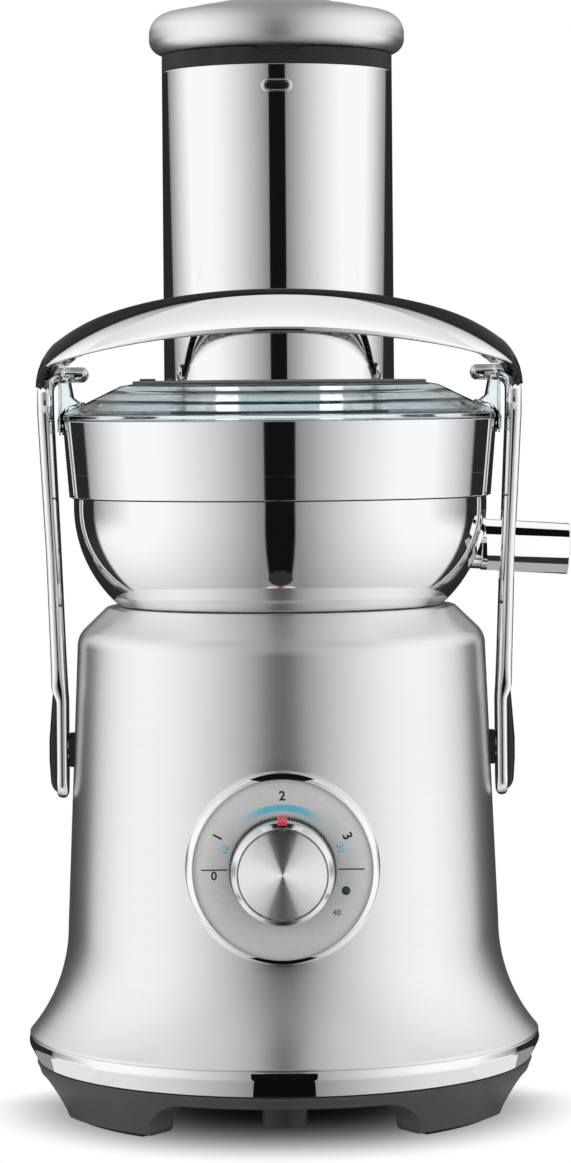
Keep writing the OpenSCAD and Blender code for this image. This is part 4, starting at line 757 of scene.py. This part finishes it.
centre = np.stack([(inner + outer) / 2, z], -1)
a = np.radians(np.linspace(0, 90, 16))[1:]
arc_centre = np.stack([TOP_X + TOP_BEND * np.cos(a), PIN_Z - TOP_BEND + TOP_BEND * np.sin(a)], -1)
centre = np.concatenate([centre, [(TOP_X + TOP_BEND, PIN_Z - TOP_BEND)], arc_centre, [(88.6, PIN_Z)]])
run = np.gradient(centre, axis=0)
run /= np.linalg.norm(run, axis=1)[:, None]
normal = np.stack([run[:, 1], -run[:, 0]], -1)
bend_w = 7.2 + (4.2 - 7.2) * np.sin(a) ** 1.5
thick = np.concatenate([thick, [3.25], np.full(len(a), 3.26), [3.26]])
wide = np.concatenate([wide, [7.3], bend_w, [3.6]])
corner = np.interp(centre[:, 1], [130, 172, 180], [2.0, 2.0, 2.9])
piece("straps", both_sides(swept(centre, normal, section(thick, wide, corner))), chrome, "arm", "arm_straps")

# ---- Locking pins ------------------------------------------------------------------------------------
# Steel pins turned with round noses, chromed and pressed into the straps' tops. They ride up the slopes
# of the cover's ears and lock it down.


def sideways(surface, z):
    """Lays a surface that was built round Z along X at a height: (x, y, z) goes to (z, x, height + y)."""
    points, faces = surface
    return np.stack([points[:, 2], points[:, 0], z + points[:, 1]], -1), faces


nose = np.radians(np.linspace(-90, 0, 14))
pin_outline = np.concatenate([np.stack([3.2 * np.cos(nose), 81.7 + 2.65 * np.sin(nose)], -1),
                              [(3.22, 82.4), (3.24, 84.0), (3.24, 90.3), (3.1, 90.5), (0.0, 90.5)]])
piece("pins", both_sides(sideways(turned(pin_outline, around=64), PIN_Z)), chrome, "arm", "locking_pins")

# ---- Arm inserts -------------------------------------------------------------------------------------
# Caps moulded in gloss black plastic, set into the outside of each strap's paddle, where they cover the
# head of the pivot pin.
black_gloss = even(
    "black_gloss", {"Coat Weight": 0.10, "Coat Roughness": 0.08, "IOR": 1.4, "Specular IOR Level": 0.35},
    ([80.0], (0.004, 0.004, 0.0045), (0.008, 0.008, 0.009)),
    (0.22, 0.08, 200.0), (0.000008, 400.0))
CAP_HALF = 8.6
z = np.linspace(130.2, 171.6, 40)
proud = np.interp(z, [130, 131.5, 134, 143.6, 151.6, 171, 172], [0.0, 1.8, 2.8, 3.4, 3.4, 1.9, 0.0])
foot_round = np.sqrt(np.maximum(CAP_HALF ** 2 - np.maximum(138.4 - z, 0) ** 2, 0))
wide = np.minimum(foot_round, np.interp(z, [160, 172], [CAP_HALF, CAP_HALF - 2]))
around = np.linspace(-1, 1, 21)
side = wide[:, None] * around
height = proud[:, None] * (1 - np.abs(around) ** 3.0) ** 0.5
up = np.broadcast_to(z[:, None], side.shape)
cap_front = np.stack([93.05 + height, side, up], -1)
cap_back = np.stack([np.full_like(side, 92.6), side, up], -1)[:, ::-1]
cap = capped(np.concatenate([cap_front, cap_back], 1), turn_over=True)
piece("strap_caps", both_sides(cap), black_gloss, "arm", "arm_inserts")

# ---- Arm crown ---------------------------------------------------------------------------------------
# The chromed bridge that joins the straps in a bow in front of the chute. Its back is upright, and its
# bright face leans back as it rises. A black overmould is the hand grip along its top.
CROWN_REACH, CROWN_HALF, CROWN_END = 62.0, 97.7, 82.59


def crown_heights(a):
    """Heights along the crown at an angle a from its middle: its lower edge, the line between chrome
    and grip, and the top of the grip, each a power of the angle's cosine."""
    c = np.cos(np.radians(a))
    return 319.1 - 15.1 * (1 - c ** 1.8), 262 + 72.7 * c ** 0.48, 297 + 39.7 * c ** 0.65


def crown_place(a, s, z):
    """A point s outwards from the crown's middle line, which is an ellipse seen from above."""
    a, turned_a = np.radians(a), np.radians(a * 90 / CROWN_END)
    return np.stack(np.broadcast_arrays(CROWN_HALF * np.sin(a) + s * np.sin(turned_a),
                                        -CROWN_REACH * np.cos(a) - s * np.cos(turned_a), z), -1)


def crown_half(a):
    """Half the crown's depth at an angle, which grows towards its middle with the angle's cosine."""
    return (6.5 + 7.5 * np.cos(np.radians(a))) / 2


a = np.linspace(-69.5, 69.5, 121)[:, None]
low, split, _ = crown_heights(a)
split = np.maximum(split, low + 0.3)
half = crown_half(a)
lean = np.radians(np.linspace(12, 60, 13))
rise = np.concatenate([[0], np.cumsum(np.cos((lean[1:] + lean[:-1]) / 2))])
shift = np.concatenate([[0], np.cumsum(np.sin((lean[1:] + lean[:-1]) / 2))]) / rise[-1]
rise = rise / rise[-1]
tall = split - low
edge_r = np.minimum(0.9, tall * 0.3)
k = np.radians(np.linspace(-90, 0, 5))
bottom_s = half - edge_r + edge_r * np.cos(k)
bottom_z = low + edge_r + edge_r * np.sin(k)
face_s = half - np.minimum(tall * shift, 2 * half * 0.86)
face_z = low + edge_r + (tall - edge_r) * rise
raised = np.minimum(2.4, tall * 0.45) * np.clip(np.abs(a) / 40, 0, 1)
s_all = np.concatenate([-half, bottom_s, face_s[:, 1:], -half, -half], 1)
z_all = np.concatenate([low + raised, bottom_z, face_z[:, 1:], split, (low + raised + split) / 2], 1)
piece("crown", capped(crown_place(a, s_all, z_all)), chrome, "arm", "arm_crown")

end = np.linspace(70.5, CROWN_END, 14)
a = np.concatenate([-end[::-1], np.linspace(-69.5, 69.5, 101), end])[:, None]
low, split, top = crown_heights(a)
tilt = 0.6 * (np.maximum(np.abs(a) - 50, 0) / (CROWN_END - 50)) ** 2
share = (CROWN_END - np.abs(a)) / (CROWN_END - 66)
end_z = 300.25 + (309.2 - 300.25) * share ** 0.8
base_z = np.maximum(np.where(np.abs(a) < 66, split, end_z), 300.2)
half = crown_half(a)
tall = np.maximum(split - low, 0)
front_s = half - np.minimum(tall * shift[-1], 2 * half * 0.86) * np.clip((76 - np.abs(a)) / 10, 0, 1)
over = np.maximum(top, base_z + 1.2)
k = np.radians(np.linspace(0, 90, 9))
back_r = np.minimum(1.2, (front_s + half) * 0.3)
s_arc = -half + back_r + (front_s + half - back_r) * np.cos(k)
z_arc = base_z - tilt * front_s + (over - base_z + tilt * front_s) * np.sin(k)
k2 = np.radians(np.linspace(90, 180, 5))[1:]
s_back = -half + back_r + back_r * np.cos(k2)
z_back = over - np.minimum(back_r, (over - base_z) * 0.5) * (1 - np.sin(k2))
s_all = np.concatenate([s_arc, s_back, -half, (front_s - half) / 2], 1)
z_all = np.concatenate([z_arc, z_back, base_z + tilt * half, base_z - tilt * (front_s - half) / 2], 1)
grip = crown_place(a, s_all, z_all)
back_y = np.array([-4.0, 0.0, 4.0, 6.5, 8.0])[:, None, None]
shrink = np.array([1.0, 1.0, 0.85, 0.6, 0.25])[:, None]
tails = []
for ring, side in ((grip[-1], 1), (grip[0], -1)):
    middle = np.array([97.6 * side, 299.5])
    tail = np.zeros((5,) + ring.shape)
    tail[..., 0] = middle[0] + (ring[:, 0] - middle[0]) * shrink
    tail[..., 2] = middle[1] + (ring[:, 2] - middle[1]) * shrink
    tail[..., 1] = back_y[..., 0]
    tails.append(tail)
grip = np.concatenate([tails[1][::-1], grip, tails[0]])
piece("hand_grip", capped(grip), black_gloss, "arm", "arm_grip")

# ---- Pivot bosses and pins ---------------------------------------------------------------------------
# Bushes turned from black acetal and pressed into the housing's sides. The arm swings on steel pins
# that run through them.
black = even("black_plastic", {"Specular IOR Level": 0.3, "IOR": 1.45},
             ([90.0, 3.0], (0.012, 0.012, 0.013), (0.022, 0.022, 0.023)),
             (0.38, 0.14, 350.0), (0.00002, 2200.0))
boss_outline = rounded([(4.0, 82, 0.2), (7.2, 82, 0.2), (7.2, 88.2, 0.7), (4.0, 88.2, 0.3)], 5)
boss = sideways(turned(boss_outline, around=72), PIVOT_Z)
piece("pivot_bushes", both_sides(boss), black, "base", "pivot_bosses")

# ---- Juice bowl --------------------------------------------------------------------------------------
# The bowl is spun from mirror-polished steel: a round lower part, then an upper band that is pressed
# over it and stands out in a fine step. A window in the band's back lets the pulp out.
STEP_Z, BOWL_R, CURVE_R, BOWL_STEEL = 252.4, 85.5, 54.9, 1.2
polished = even("polished_steel", {"Metallic": 1.0, "IOR": 2.0},
                ([18.0], (0.92, 0.925, 0.93), (0.95, 0.953, 0.955)),
                (0.03, 0.03, 60.0, 3.0), (0.000003, 30.0))


def bowl_curve(inset):
    """The lower part's side: an arc from the floor up to the step, drawn in by a distance."""
    x0, z0, r = BOWL_R - CURVE_R, STEP_Z - 3.8, CURVE_R - inset
    start = np.arcsin((DECK_Z + inset + 1.0 - z0) / r)
    a = np.linspace(start, 0, 44)
    return np.stack([x0 + r * np.cos(a), z0 + r * np.sin(a)], -1)


out_curve, in_curve = bowl_curve(0.0), bowl_curve(BOWL_STEEL)
foot_x, in_x, top_x = out_curve[0][0], in_curve[0][0], BOWL_R - BOWL_STEEL
bowl_outline = np.concatenate([
    [(24.2, DECK_Z + 0.05), (24.5, DECK_Z), (foot_x - 3.0, DECK_Z), (foot_x - 1.6, DECK_Z + 0.12),
     (foot_x - 0.6, DECK_Z + 0.5)], out_curve,
    [(BOWL_R, STEP_Z - 0.2), (BOWL_R, STEP_Z), (top_x, STEP_Z), (top_x, STEP_Z - 0.2)],
    in_curve[::-1], [(in_x - 2.0, DECK_Z + BOWL_STEEL), (24.2, DECK_Z + BOWL_STEEL)]])
piece("bowl", turned(bowl_outline, around=256), polished, "base", "bowl_shell")

BAND_LOW, BAND_HIGH, WINDOW_Z, WINDOW_HALF = 87.3, 89.9, 262.0, 44.0
window_r = BAND_LOW + (BAND_HIGH - BAND_LOW) * (WINDOW_Z - STEP_Z) / (RIM_Z - STEP_Z)
window_in = window_r - BOWL_STEEL
lower_band = rounded([(84.4, STEP_Z, 0.1), (BAND_LOW, STEP_Z, 0.35), (window_r, WINDOW_Z, 0.05),
                      (window_in, WINDOW_Z, 0.05), (BAND_LOW - BOWL_STEEL, STEP_Z + BOWL_STEEL, 0.3),
                      (84.4, STEP_Z + BOWL_STEEL, 0.1)], 6)
upper_band = rounded([(window_r, WINDOW_Z - 0.05, 0.05), (BAND_HIGH, RIM_Z, 0.5),
                      (BAND_HIGH - BOWL_STEEL, RIM_Z, 0.4), (window_in, WINDOW_Z - 0.05, 0.05)], 5)
half_window = np.degrees(np.arcsin(WINDOW_HALF / 88.5))
piece("bowl_collar", joined(turned(lower_band, around=256),
                            turned(upper_band, around=220, first=90 + half_window, last=450 - half_window)),
      polished, "base", "bowl_band")

# ---- Band seam shade ---------------------------------------------------------------------------------
# A thin black bead, laid in the corner under the band where it closes the joint with the bowl: a
# painted shadow for the dark line at the joint, which the polished steel would not show by itself.
seam_shade_finish = even("painted_seam_shade", {"Specular IOR Level": 0.2},
               ([200.0], (0.006, 0.006, 0.006), (0.014, 0.014, 0.014)), (0.5, 0.2, 400.0), (0.00002, 900.0))
seam_shade_outline = rounded([(85.3, STEP_Z - 0.55, 0.1), (85.75, STEP_Z - 0.55, 0.2), (86.7, STEP_Z, 0.05),
                        (85.3, STEP_Z, 0.05)], 4)
piece("band_seam_shade", turned(seam_shade_outline, around=256), seam_shade_finish, "base")

# ---- Juice spout -------------------------------------------------------------------------------------
# A chromed steel tube with a thin rolled edge, soldered into the bowl's side and sloping down to the
# jug.
SLOPE, ROOT_X, SPOUT_Y, SPOUT_Z, SPOUT_END = np.radians(3.4), 85.5, 22.0, 230.6, 121.0
spout_outline = rounded([(9.1, 74.0, 0.2), (10.3, 74.0, 0.2), (10.3, 84.3, 0.2), (10.7, 84.7, 0.2),
                         (10.7, SPOUT_END, 0.5), (9.5, SPOUT_END, 0.5), (9.5, 85.0, 0.2)], 6)
points, spout_faces = turned(spout_outline, around=128)
across, up, reach = (points - (0, 0, ROOT_X)).T
points = np.stack([ROOT_X + reach * np.cos(SLOPE) + up * np.sin(SLOPE), SPOUT_Y + across,
                   SPOUT_Z - reach * np.sin(SLOPE) + up * np.cos(SLOPE)], -1)
piece("spout", (points, spout_faces), chrome, "base", "juice_spout")

# ---- Clear cover -------------------------------------------------------------------------------------
# The lid is one heavy moulding of faintly blue clear copolyester: a sloped disc with a stepped edge, two
# ears that the arm locks behind, and a hood at the back that turns the pulp down into its bin.
clear = even("clear_plastic", {"Transmission Weight": 1.0, "IOR": 1.46, "Specular IOR Level": 0.5},
             ([20.0], (0.76, 0.865, 0.895), (0.84, 0.92, 0.945)), (0.03, 0.05, 120.0), (0.00005, 55.0, 2.0))
COVER_TOP = 299.0
ridge_r = np.array([68.0, 70.2, 70.9, 76.0, 78.4, 79.1, 84.4])
ridge_z = 295.0 - (ridge_r - 66.5) * 0.487 + np.array([-0.1, 0.25, -0.15, -0.1, 0.25, -0.15, 0.0])
cover_outline = rounded([(90.2, 284.05, 0.3), (90.2, 286.2, 0.6), (87, 288, 1.0), (66, 298.2, 3.0),
                         (61, COVER_TOP, 1.0), (46.95, COVER_TOP, 0.2), (46.95, 296.5, 0.3),
                         (60.5, 296.5, 1.0), (64.6, 295.9, 0.8),
                         *[(r, z, 0.25) for r, z in zip(ridge_r, ridge_z)],
                         (86, 284.6, 0.4), (86, 280, 0.4), (88, 280, 0.4), (88, 284.05, 0.1)], 6)
piece("cover_disc", turned(cover_outline, around=256), clear, "base", "clear_cover")


def slab(outline, y0, y1, edge=0.8, steps=5):
    """An outline (x, z) drawn out along Y between two ends whose edges are rounded: near an end each ring
    shrinks towards the outline's middle by a quarter circle."""
    outline = anticlockwise(outline)
    run = np.roll(outline, -1, 0) - np.roll(outline, 1, 0)
    inwards = np.stack([-run[:, 1], run[:, 0]], -1) / np.linalg.norm(run, axis=1)[:, None]
    a = np.radians(np.linspace(0, 90, steps + 1))
    inset = np.concatenate([edge * (1 - np.sin(a)), edge * (1 - np.cos(a))])
    y = np.concatenate([y0 + edge * (1 - np.cos(a)), y1 - edge * (1 - np.sin(a))])
    rings = outline[None] + inwards[None] * inset[:, None, None]
    y = np.broadcast_to(y[:, None], rings.shape[:2])
    return capped(np.stack([rings[..., 0], y, rings[..., 1]], -1))


ear_outline = rounded([(91.3, 279.2, 0.8), (91.3, 300.6, 1.5), (87.4, 302.8, 1.2), (85.6, 293.5, 1.0),
                       (83.2, 291.6, 1.0), (79.6, 291.9, 0.6), (88.6, 285.6, 0.5), (90.3, 284.6, 0.3),
                       (90.3, 279.2, 0.3)], 5)
ear = slab(ear_outline, -11, 11, 1.2)
piece("cover_ears", both_sides(ear), clear, "base", "clear_cover")

HOOD_HALF, HOOD_FRONT, HOOD_BACK, HOOD_TOP, HOOD_LOW, HOOD_ROUND = 52.0, 78.0, 128.0, 291.0, 252.0, 5.0
plan = rounded([(HOOD_HALF, HOOD_FRONT, 0.5), (HOOD_HALF, HOOD_BACK, 9), (-HOOD_HALF, HOOD_BACK, 9),
                (-HOOD_HALF, HOOD_FRONT, 0.5)], 10, False)
middle = np.array([0.0, HOOD_FRONT])
a = np.radians(np.linspace(0, 90, 8))
drop = np.concatenate([[0.0, 0.0], HOOD_ROUND * (1 - np.cos(a))[1:]])
side_top = HOOD_TOP - HOOD_ROUND
level = np.concatenate([[HOOD_LOW, side_top], side_top + HOOD_ROUND * np.sin(a)[1:]])


def hood_wall(inset, lift):
    """The hood's skin drawn in by a distance: its plan is carried up, then rounded over the top."""
    shrink = 1 - (drop[:, None] + inset) / (HOOD_HALF, HOOD_BACK - HOOD_FRONT)
    flat = middle + (plan - middle)[None] * shrink[:, None]
    height = np.broadcast_to((level - lift * (level > HOOD_LOW + 1))[:, None, None], flat.shape[:2] + (1,))
    roof = np.broadcast_to((0.0, HOOD_FRONT + 2.0, HOOD_TOP - lift), (1, len(plan), 3))
    return np.concatenate([np.concatenate([flat, height], -1), roof])


skin, lining = hood_wall(0.0, 0.0), hood_wall(2.5, 2.5)
hood = np.concatenate([lining[::-1], skin])
hood_faces = grid_faces(*hood.shape[:2], round_columns=False)
piece("pulp_hood", (hood.reshape(-1, 3), hood_faces), clear, "base", "clear_cover")

# ---- Cover collar ------------------------------------------------------------------------------------
# A thin plate moulded in grey plastic, clipped round the chute's foot on top of the cover, with a small
# tab at its left.
grey = even("grey_plastic", {"Specular IOR Level": 0.5, "IOR": 1.5},
            ([70.0], (0.10, 0.105, 0.11), (0.15, 0.155, 0.16)), (0.3, 0.1, 300.0), (0.00001, 1500.0))
collar_outline = rounded([(47.75, COVER_TOP + 0.02, 0.1), (61, COVER_TOP + 0.02, 0.3),
                          (60.8, COVER_TOP + 1.2, 0.4), (47.75, COVER_TOP + 1.2, 0.2)], 4)
tab_outline = rounded([(-58, 300.1, 0.3), (-51, 300.1, 0.3), (-51.4, 301.2, 0.4), (-57.6, 301.2, 0.4)], 3)
tab = slab(tab_outline, -5, -1, 0.4)
piece("chute_plate", joined(turned(collar_outline, around=192), tab), grey, "base", "cover_collar")

# ---- Feed chute --------------------------------------------------------------------------------------
# A black plastic tube takes the fruit down to the grating disc. A polished steel sleeve is slid over it
# up to the tube's thicker top edge. A small key in front guides the pusher.
TUBE_IN, TUBE_OUT, SLEEVE_R, SLEEVE_TOP, TUBE_TOP, KEY_Z = 44.0, 46.85, 47.7, 427.7, 435.0, 418.8
tube_outline = rounded([(TUBE_IN, 236.0, 0.4), (TUBE_OUT, 236.0, 0.4), (TUBE_OUT, SLEEVE_TOP + 0.05, 0.1),
                        (SLEEVE_R, SLEEVE_TOP + 0.05, 0.2), (SLEEVE_R, TUBE_TOP, 0.8),
                        (TUBE_IN, TUBE_TOP, 0.8)], 6)
tube = turned(tube_outline, around=360)
x, y, z = tube[0].T
notch = 1.9 * np.sqrt(np.clip(1 - (x / 10) ** 2, 0, 1)) * (y < 0) * np.clip((z - 431.5) / 3.0, 0, 1)
tube[0][:, 2] -= notch
piece("chute_tube", tube, black, "base", "chute_liner")
sleeve_outline = rounded([(46.87, 284.0, 0.01), (46.93, 284.0, 0.01), (46.93, COVER_TOP - 0.02, 0.02),
                          (SLEEVE_R, COVER_TOP + 0.02, 0.1), (SLEEVE_R, SLEEVE_TOP, 0.3),
                          (46.87, SLEEVE_TOP, 0.1)], 4)
piece("steel_sleeve", turned(sleeve_outline, around=256), polished, "base", "chute_sleeve")


def obround(rows):
    """A raised obround on the chute's front: each row (across, up, distance from the axis) gives the half
    width, the half height and the depth of one ring round it. The first and last rings are closed."""
    t = np.radians(np.linspace(0, 360, 72, endpoint=False))
    rows = np.array(rows, float)[:, :, None]
    wide, tall, out = rows[:, 0], rows[:, 1], rows[:, 2]
    x = (wide - tall) * np.sign(np.cos(t)) * np.minimum(1, 8 * np.abs(np.cos(t))) + tall * np.cos(t)
    z = np.broadcast_to(KEY_Z + tall * np.sin(t), x.shape)
    return capped(np.stack([x, -np.sqrt(out ** 2 - x ** 2), z], -1))


key_rim = obround([(6.2, 2.6, 46.9), (6.2, 2.6, 47.75), (6.0, 2.4, 48.05), (5.5, 1.9, 48.1),
                   (5.2, 1.65, 47.75), (5.2, 1.65, 46.9)])
piece("guide_key_rim", key_rim, chrome, "base", "chute_sleeve")
key = obround([(5.15, 1.6, 44.2), (5.15, 1.6, 47.5), (4.7, 1.2, 47.95), (3.6, 0.5, 48.05)])
piece("guide_key", key, black_gloss, "base", "chute_liner")

# ---- Food pusher -------------------------------------------------------------------------------------
# A hollow plunger of smoky plastic slides in the chute. It is closed by a wide cap spun from satin
# aluminium, which is also its handle.
smoked = even("smoked_plastic", {"Specular IOR Level": 0.5, "IOR": 1.5},
              ([50.0], (0.10, 0.11, 0.12), (0.15, 0.16, 0.17)), (0.22, 0.1, 200.0), (0.00001, 900.0))
PUSHER_R, PUSHER_LOW, PUSHER_WALL, SLOT_HALF, SLOT_DEPTH = 43.4, 290.0, 3.0, 5.8, 1.2
inside_r = PUSHER_R - PUSHER_WALL
plunger_outline = [(0.0, PUSHER_LOW), (PUSHER_R - 1, PUSHER_LOW), (PUSHER_R - 0.3, PUSHER_LOW + 0.3),
                   (PUSHER_R, PUSHER_LOW + 1), (PUSHER_R, 436.9), (inside_r, 436.9),
                   (inside_r, PUSHER_LOW + PUSHER_WALL), (0.0, PUSHER_LOW + PUSHER_WALL)]
plunger = turned(plunger_outline, closed=False, around=360)
x, y, z = plunger[0].T
slot = np.clip((SLOT_HALF - np.abs(x)) / 0.6, 0, 1) * (y < -30) * (np.hypot(x, y) > 42)
plunger[0][:, 1] += SLOT_DEPTH * slot
piece("plunger", plunger, smoked, "pusher", "pusher_body")

satin = finish(
    "satin_aluminium", {"Metallic": 1.0, "Anisotropic": 0.5, "Anisotropic Rotation": 0.25, "IOR": 2.0},
    colour=lambda s: between(s, 0.5 * noise(s, 1.0, 3.0, (40.0, 40.0, 3000.0)) + 0.5 * noise(s, 12.0),
                             (0.86, 0.862, 0.865), (0.97, 0.972, 0.975)),
    rough=lambda s: 0.34 + 0.10 * noise(s, 400.0),
    bump=lambda s: (0.00001, noise(s, 1.0, 2.0, (40.0, 40.0, 4000.0))))
a = np.radians(np.linspace(-90, 74, 34))[:, None]
low_arc, high_arc = np.array([(46.9, 441.3, 6.0)]), np.array([(43.9, 443.5, 9.0)])
arc = np.where(a < 0, low_arc, high_arc)
edge_arc = arc[:, :2] + arc[:, 2:] * np.concatenate([np.cos(a), np.sin(a)], 1)
dome = [(40.0, 453.35), (34.0, 454.7), (27.5, 455.8), (25.6, 456.1), (24.6, 456.5), (22.0, 456.7),
        (12.0, 456.92), (0.0, 457.0)]
cap_outline = np.concatenate([[(0.0, 437.4), (40.2, 437.4), (43.3, 437.2), (43.5, 435.4), (44.0, 435.3)],
                              edge_arc, dome])
piece("cap", turned(cap_outline, closed=False, around=256), satin, "pusher", "pusher_cap")

# ---- Inner works -------------------------------------------------------------------------------------
# What the housing and bowl hold keeps its CAD shape: the motor, its bearings and board, the liner and
# the filter basket. Each is given the finish that such a part has from its maker.
machined = even("machined_steel", {"Metallic": 1.0, "Anisotropic": 0.4, "IOR": 2.0},
                ([1.0, 2.0, (200.0, 200.0, 2500.0)], (0.50, 0.51, 0.53), (0.66, 0.67, 0.69)),
                (0.24, 0.14, 300.0), (0.00001, 1.0, 2.0, (300.0, 300.0, 4000.0)))
cast = even("cast_aluminium", {"Metallic": 1.0, "IOR": 2.0},
            ([150.0, 4.0], (0.52, 0.53, 0.55), (0.68, 0.69, 0.71)), (0.5, 0.2, 400.0), (0.0001, 900.0, 3.0))
laminated = even("lamination", {"Metallic": 1.0, "IOR": 2.0},
                 ([1.0, 1.0, (20.0, 20.0, 2200.0)], (0.14, 0.145, 0.155), (0.38, 0.385, 0.40)),
                 (0.42, 0.15, 500.0), (0.00012, 1.0, 1.0, (20.0, 20.0, 2200.0)))
copper = even("copper_wire", {"Metallic": 0.9, "Coat Weight": 0.5, "Coat Roughness": 0.15, "IOR": 1.8},
              ([1.0, 1.0, (900.0, 900.0, 1600.0)], (0.30, 0.10, 0.035), (0.72, 0.33, 0.15)),
              (0.28, 0.1, 600.0), (0.0002, 1.0, 1.0, (500.0, 500.0, 1400.0)))
brass = even("brass", {"Metallic": 1.0, "IOR": 2.0},
             ([200.0, 3.0], (0.55, 0.38, 0.15), (0.72, 0.53, 0.24)), (0.28, 0.12, 300.0), (0.00002, 900.0))
carbon = even("carbon", {"Specular IOR Level": 0.3},
              ([500.0, 4.0], (0.010, 0.010, 0.010), (0.035, 0.035, 0.036)),
              (0.6, 0.2, 500.0), (0.00006, 1500.0, 3.0))
nylon = even("fan_nylon", {"Specular IOR Level": 0.45, "Subsurface Weight": 0.1},
             ([60.0], (0.60, 0.58, 0.52), (0.70, 0.68, 0.61)), (0.42, 0.1, 300.0), (0.00003, 1200.0))


def tracks(s):
    """The board's copper tracks: noise cut at a level."""
    return noise(s, 450.0, 1.0).step(0.50, 0.54)


board = finish(
    "circuit_board", {"Coat Weight": 0.4, "Coat Roughness": 0.2, "IOR": 1.5},
    colour=lambda s: between(s, tracks(s), (0.010, 0.085, 0.035), (0.03, 0.15, 0.06)),
    rough=lambda s: 0.35 + 0.15 * noise(s, 700.0), bump=lambda s: (0.00004, tracks(s)))


def holes(s):
    """The screen's holes: cells of a fine Voronoi pattern, dark in their middles."""
    cell = s.node("ShaderNodeTexVoronoi", {"feature": "F1"}, {"Vector": s.place, "Scale": 1100.0})
    return cell.step(0.32, 0.42)


screen = finish(
    "filter_screen", {"Metallic": 1.0, "IOR": 2.0},
    colour=lambda s: between(s, holes(s), (0.05, 0.05, 0.055), (0.62, 0.63, 0.64)),
    rough=lambda s: 0.45 - 0.15 * holes(s), bump=lambda s: (0.00015, holes(s)))
liner_clear = even("liner_plastic", {"Specular IOR Level": 0.5, "IOR": 1.5},
                   ([40.0], (0.17, 0.19, 0.20), (0.23, 0.25, 0.265)), (0.25, 0.1, 200.0), (0.00002, 700.0))
inner_finish = {
    machined: ["base_screws", "deck_nuts", "motor_screws", "motor_bolts", "brush_springs", "upper_bearing",
               "lower_bearing", "motor_shaft", "board_screws", "selector_shaft", "selector_nut", "pivot_pins",
               "grating_disc"],
    cast: ["motor_bracket", "motor_end_cap"], laminated: ["stator_core", "rotor_core"],
    copper: ["stator_windings", "rotor_windings", "commutator"], brass: ["brush_holders"],
    carbon: ["carbon_brushes"], nylon: ["cooling_fan"], board: ["control_board"], screen: ["filter_mesh"],
    liner_clear: ["bowl_liner"], grey: ["basket_frame"],
    rubber: ["motor_grommets", "shaft_seal", "cord_gland"],
    black: ["top_deck", "drive_coupling", "speed_selector", "safety_switch"]}
for coat_of, names in inner_finish.items():
    for name in names:
        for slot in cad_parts[name].material_slots:
            slot.material = coat_of
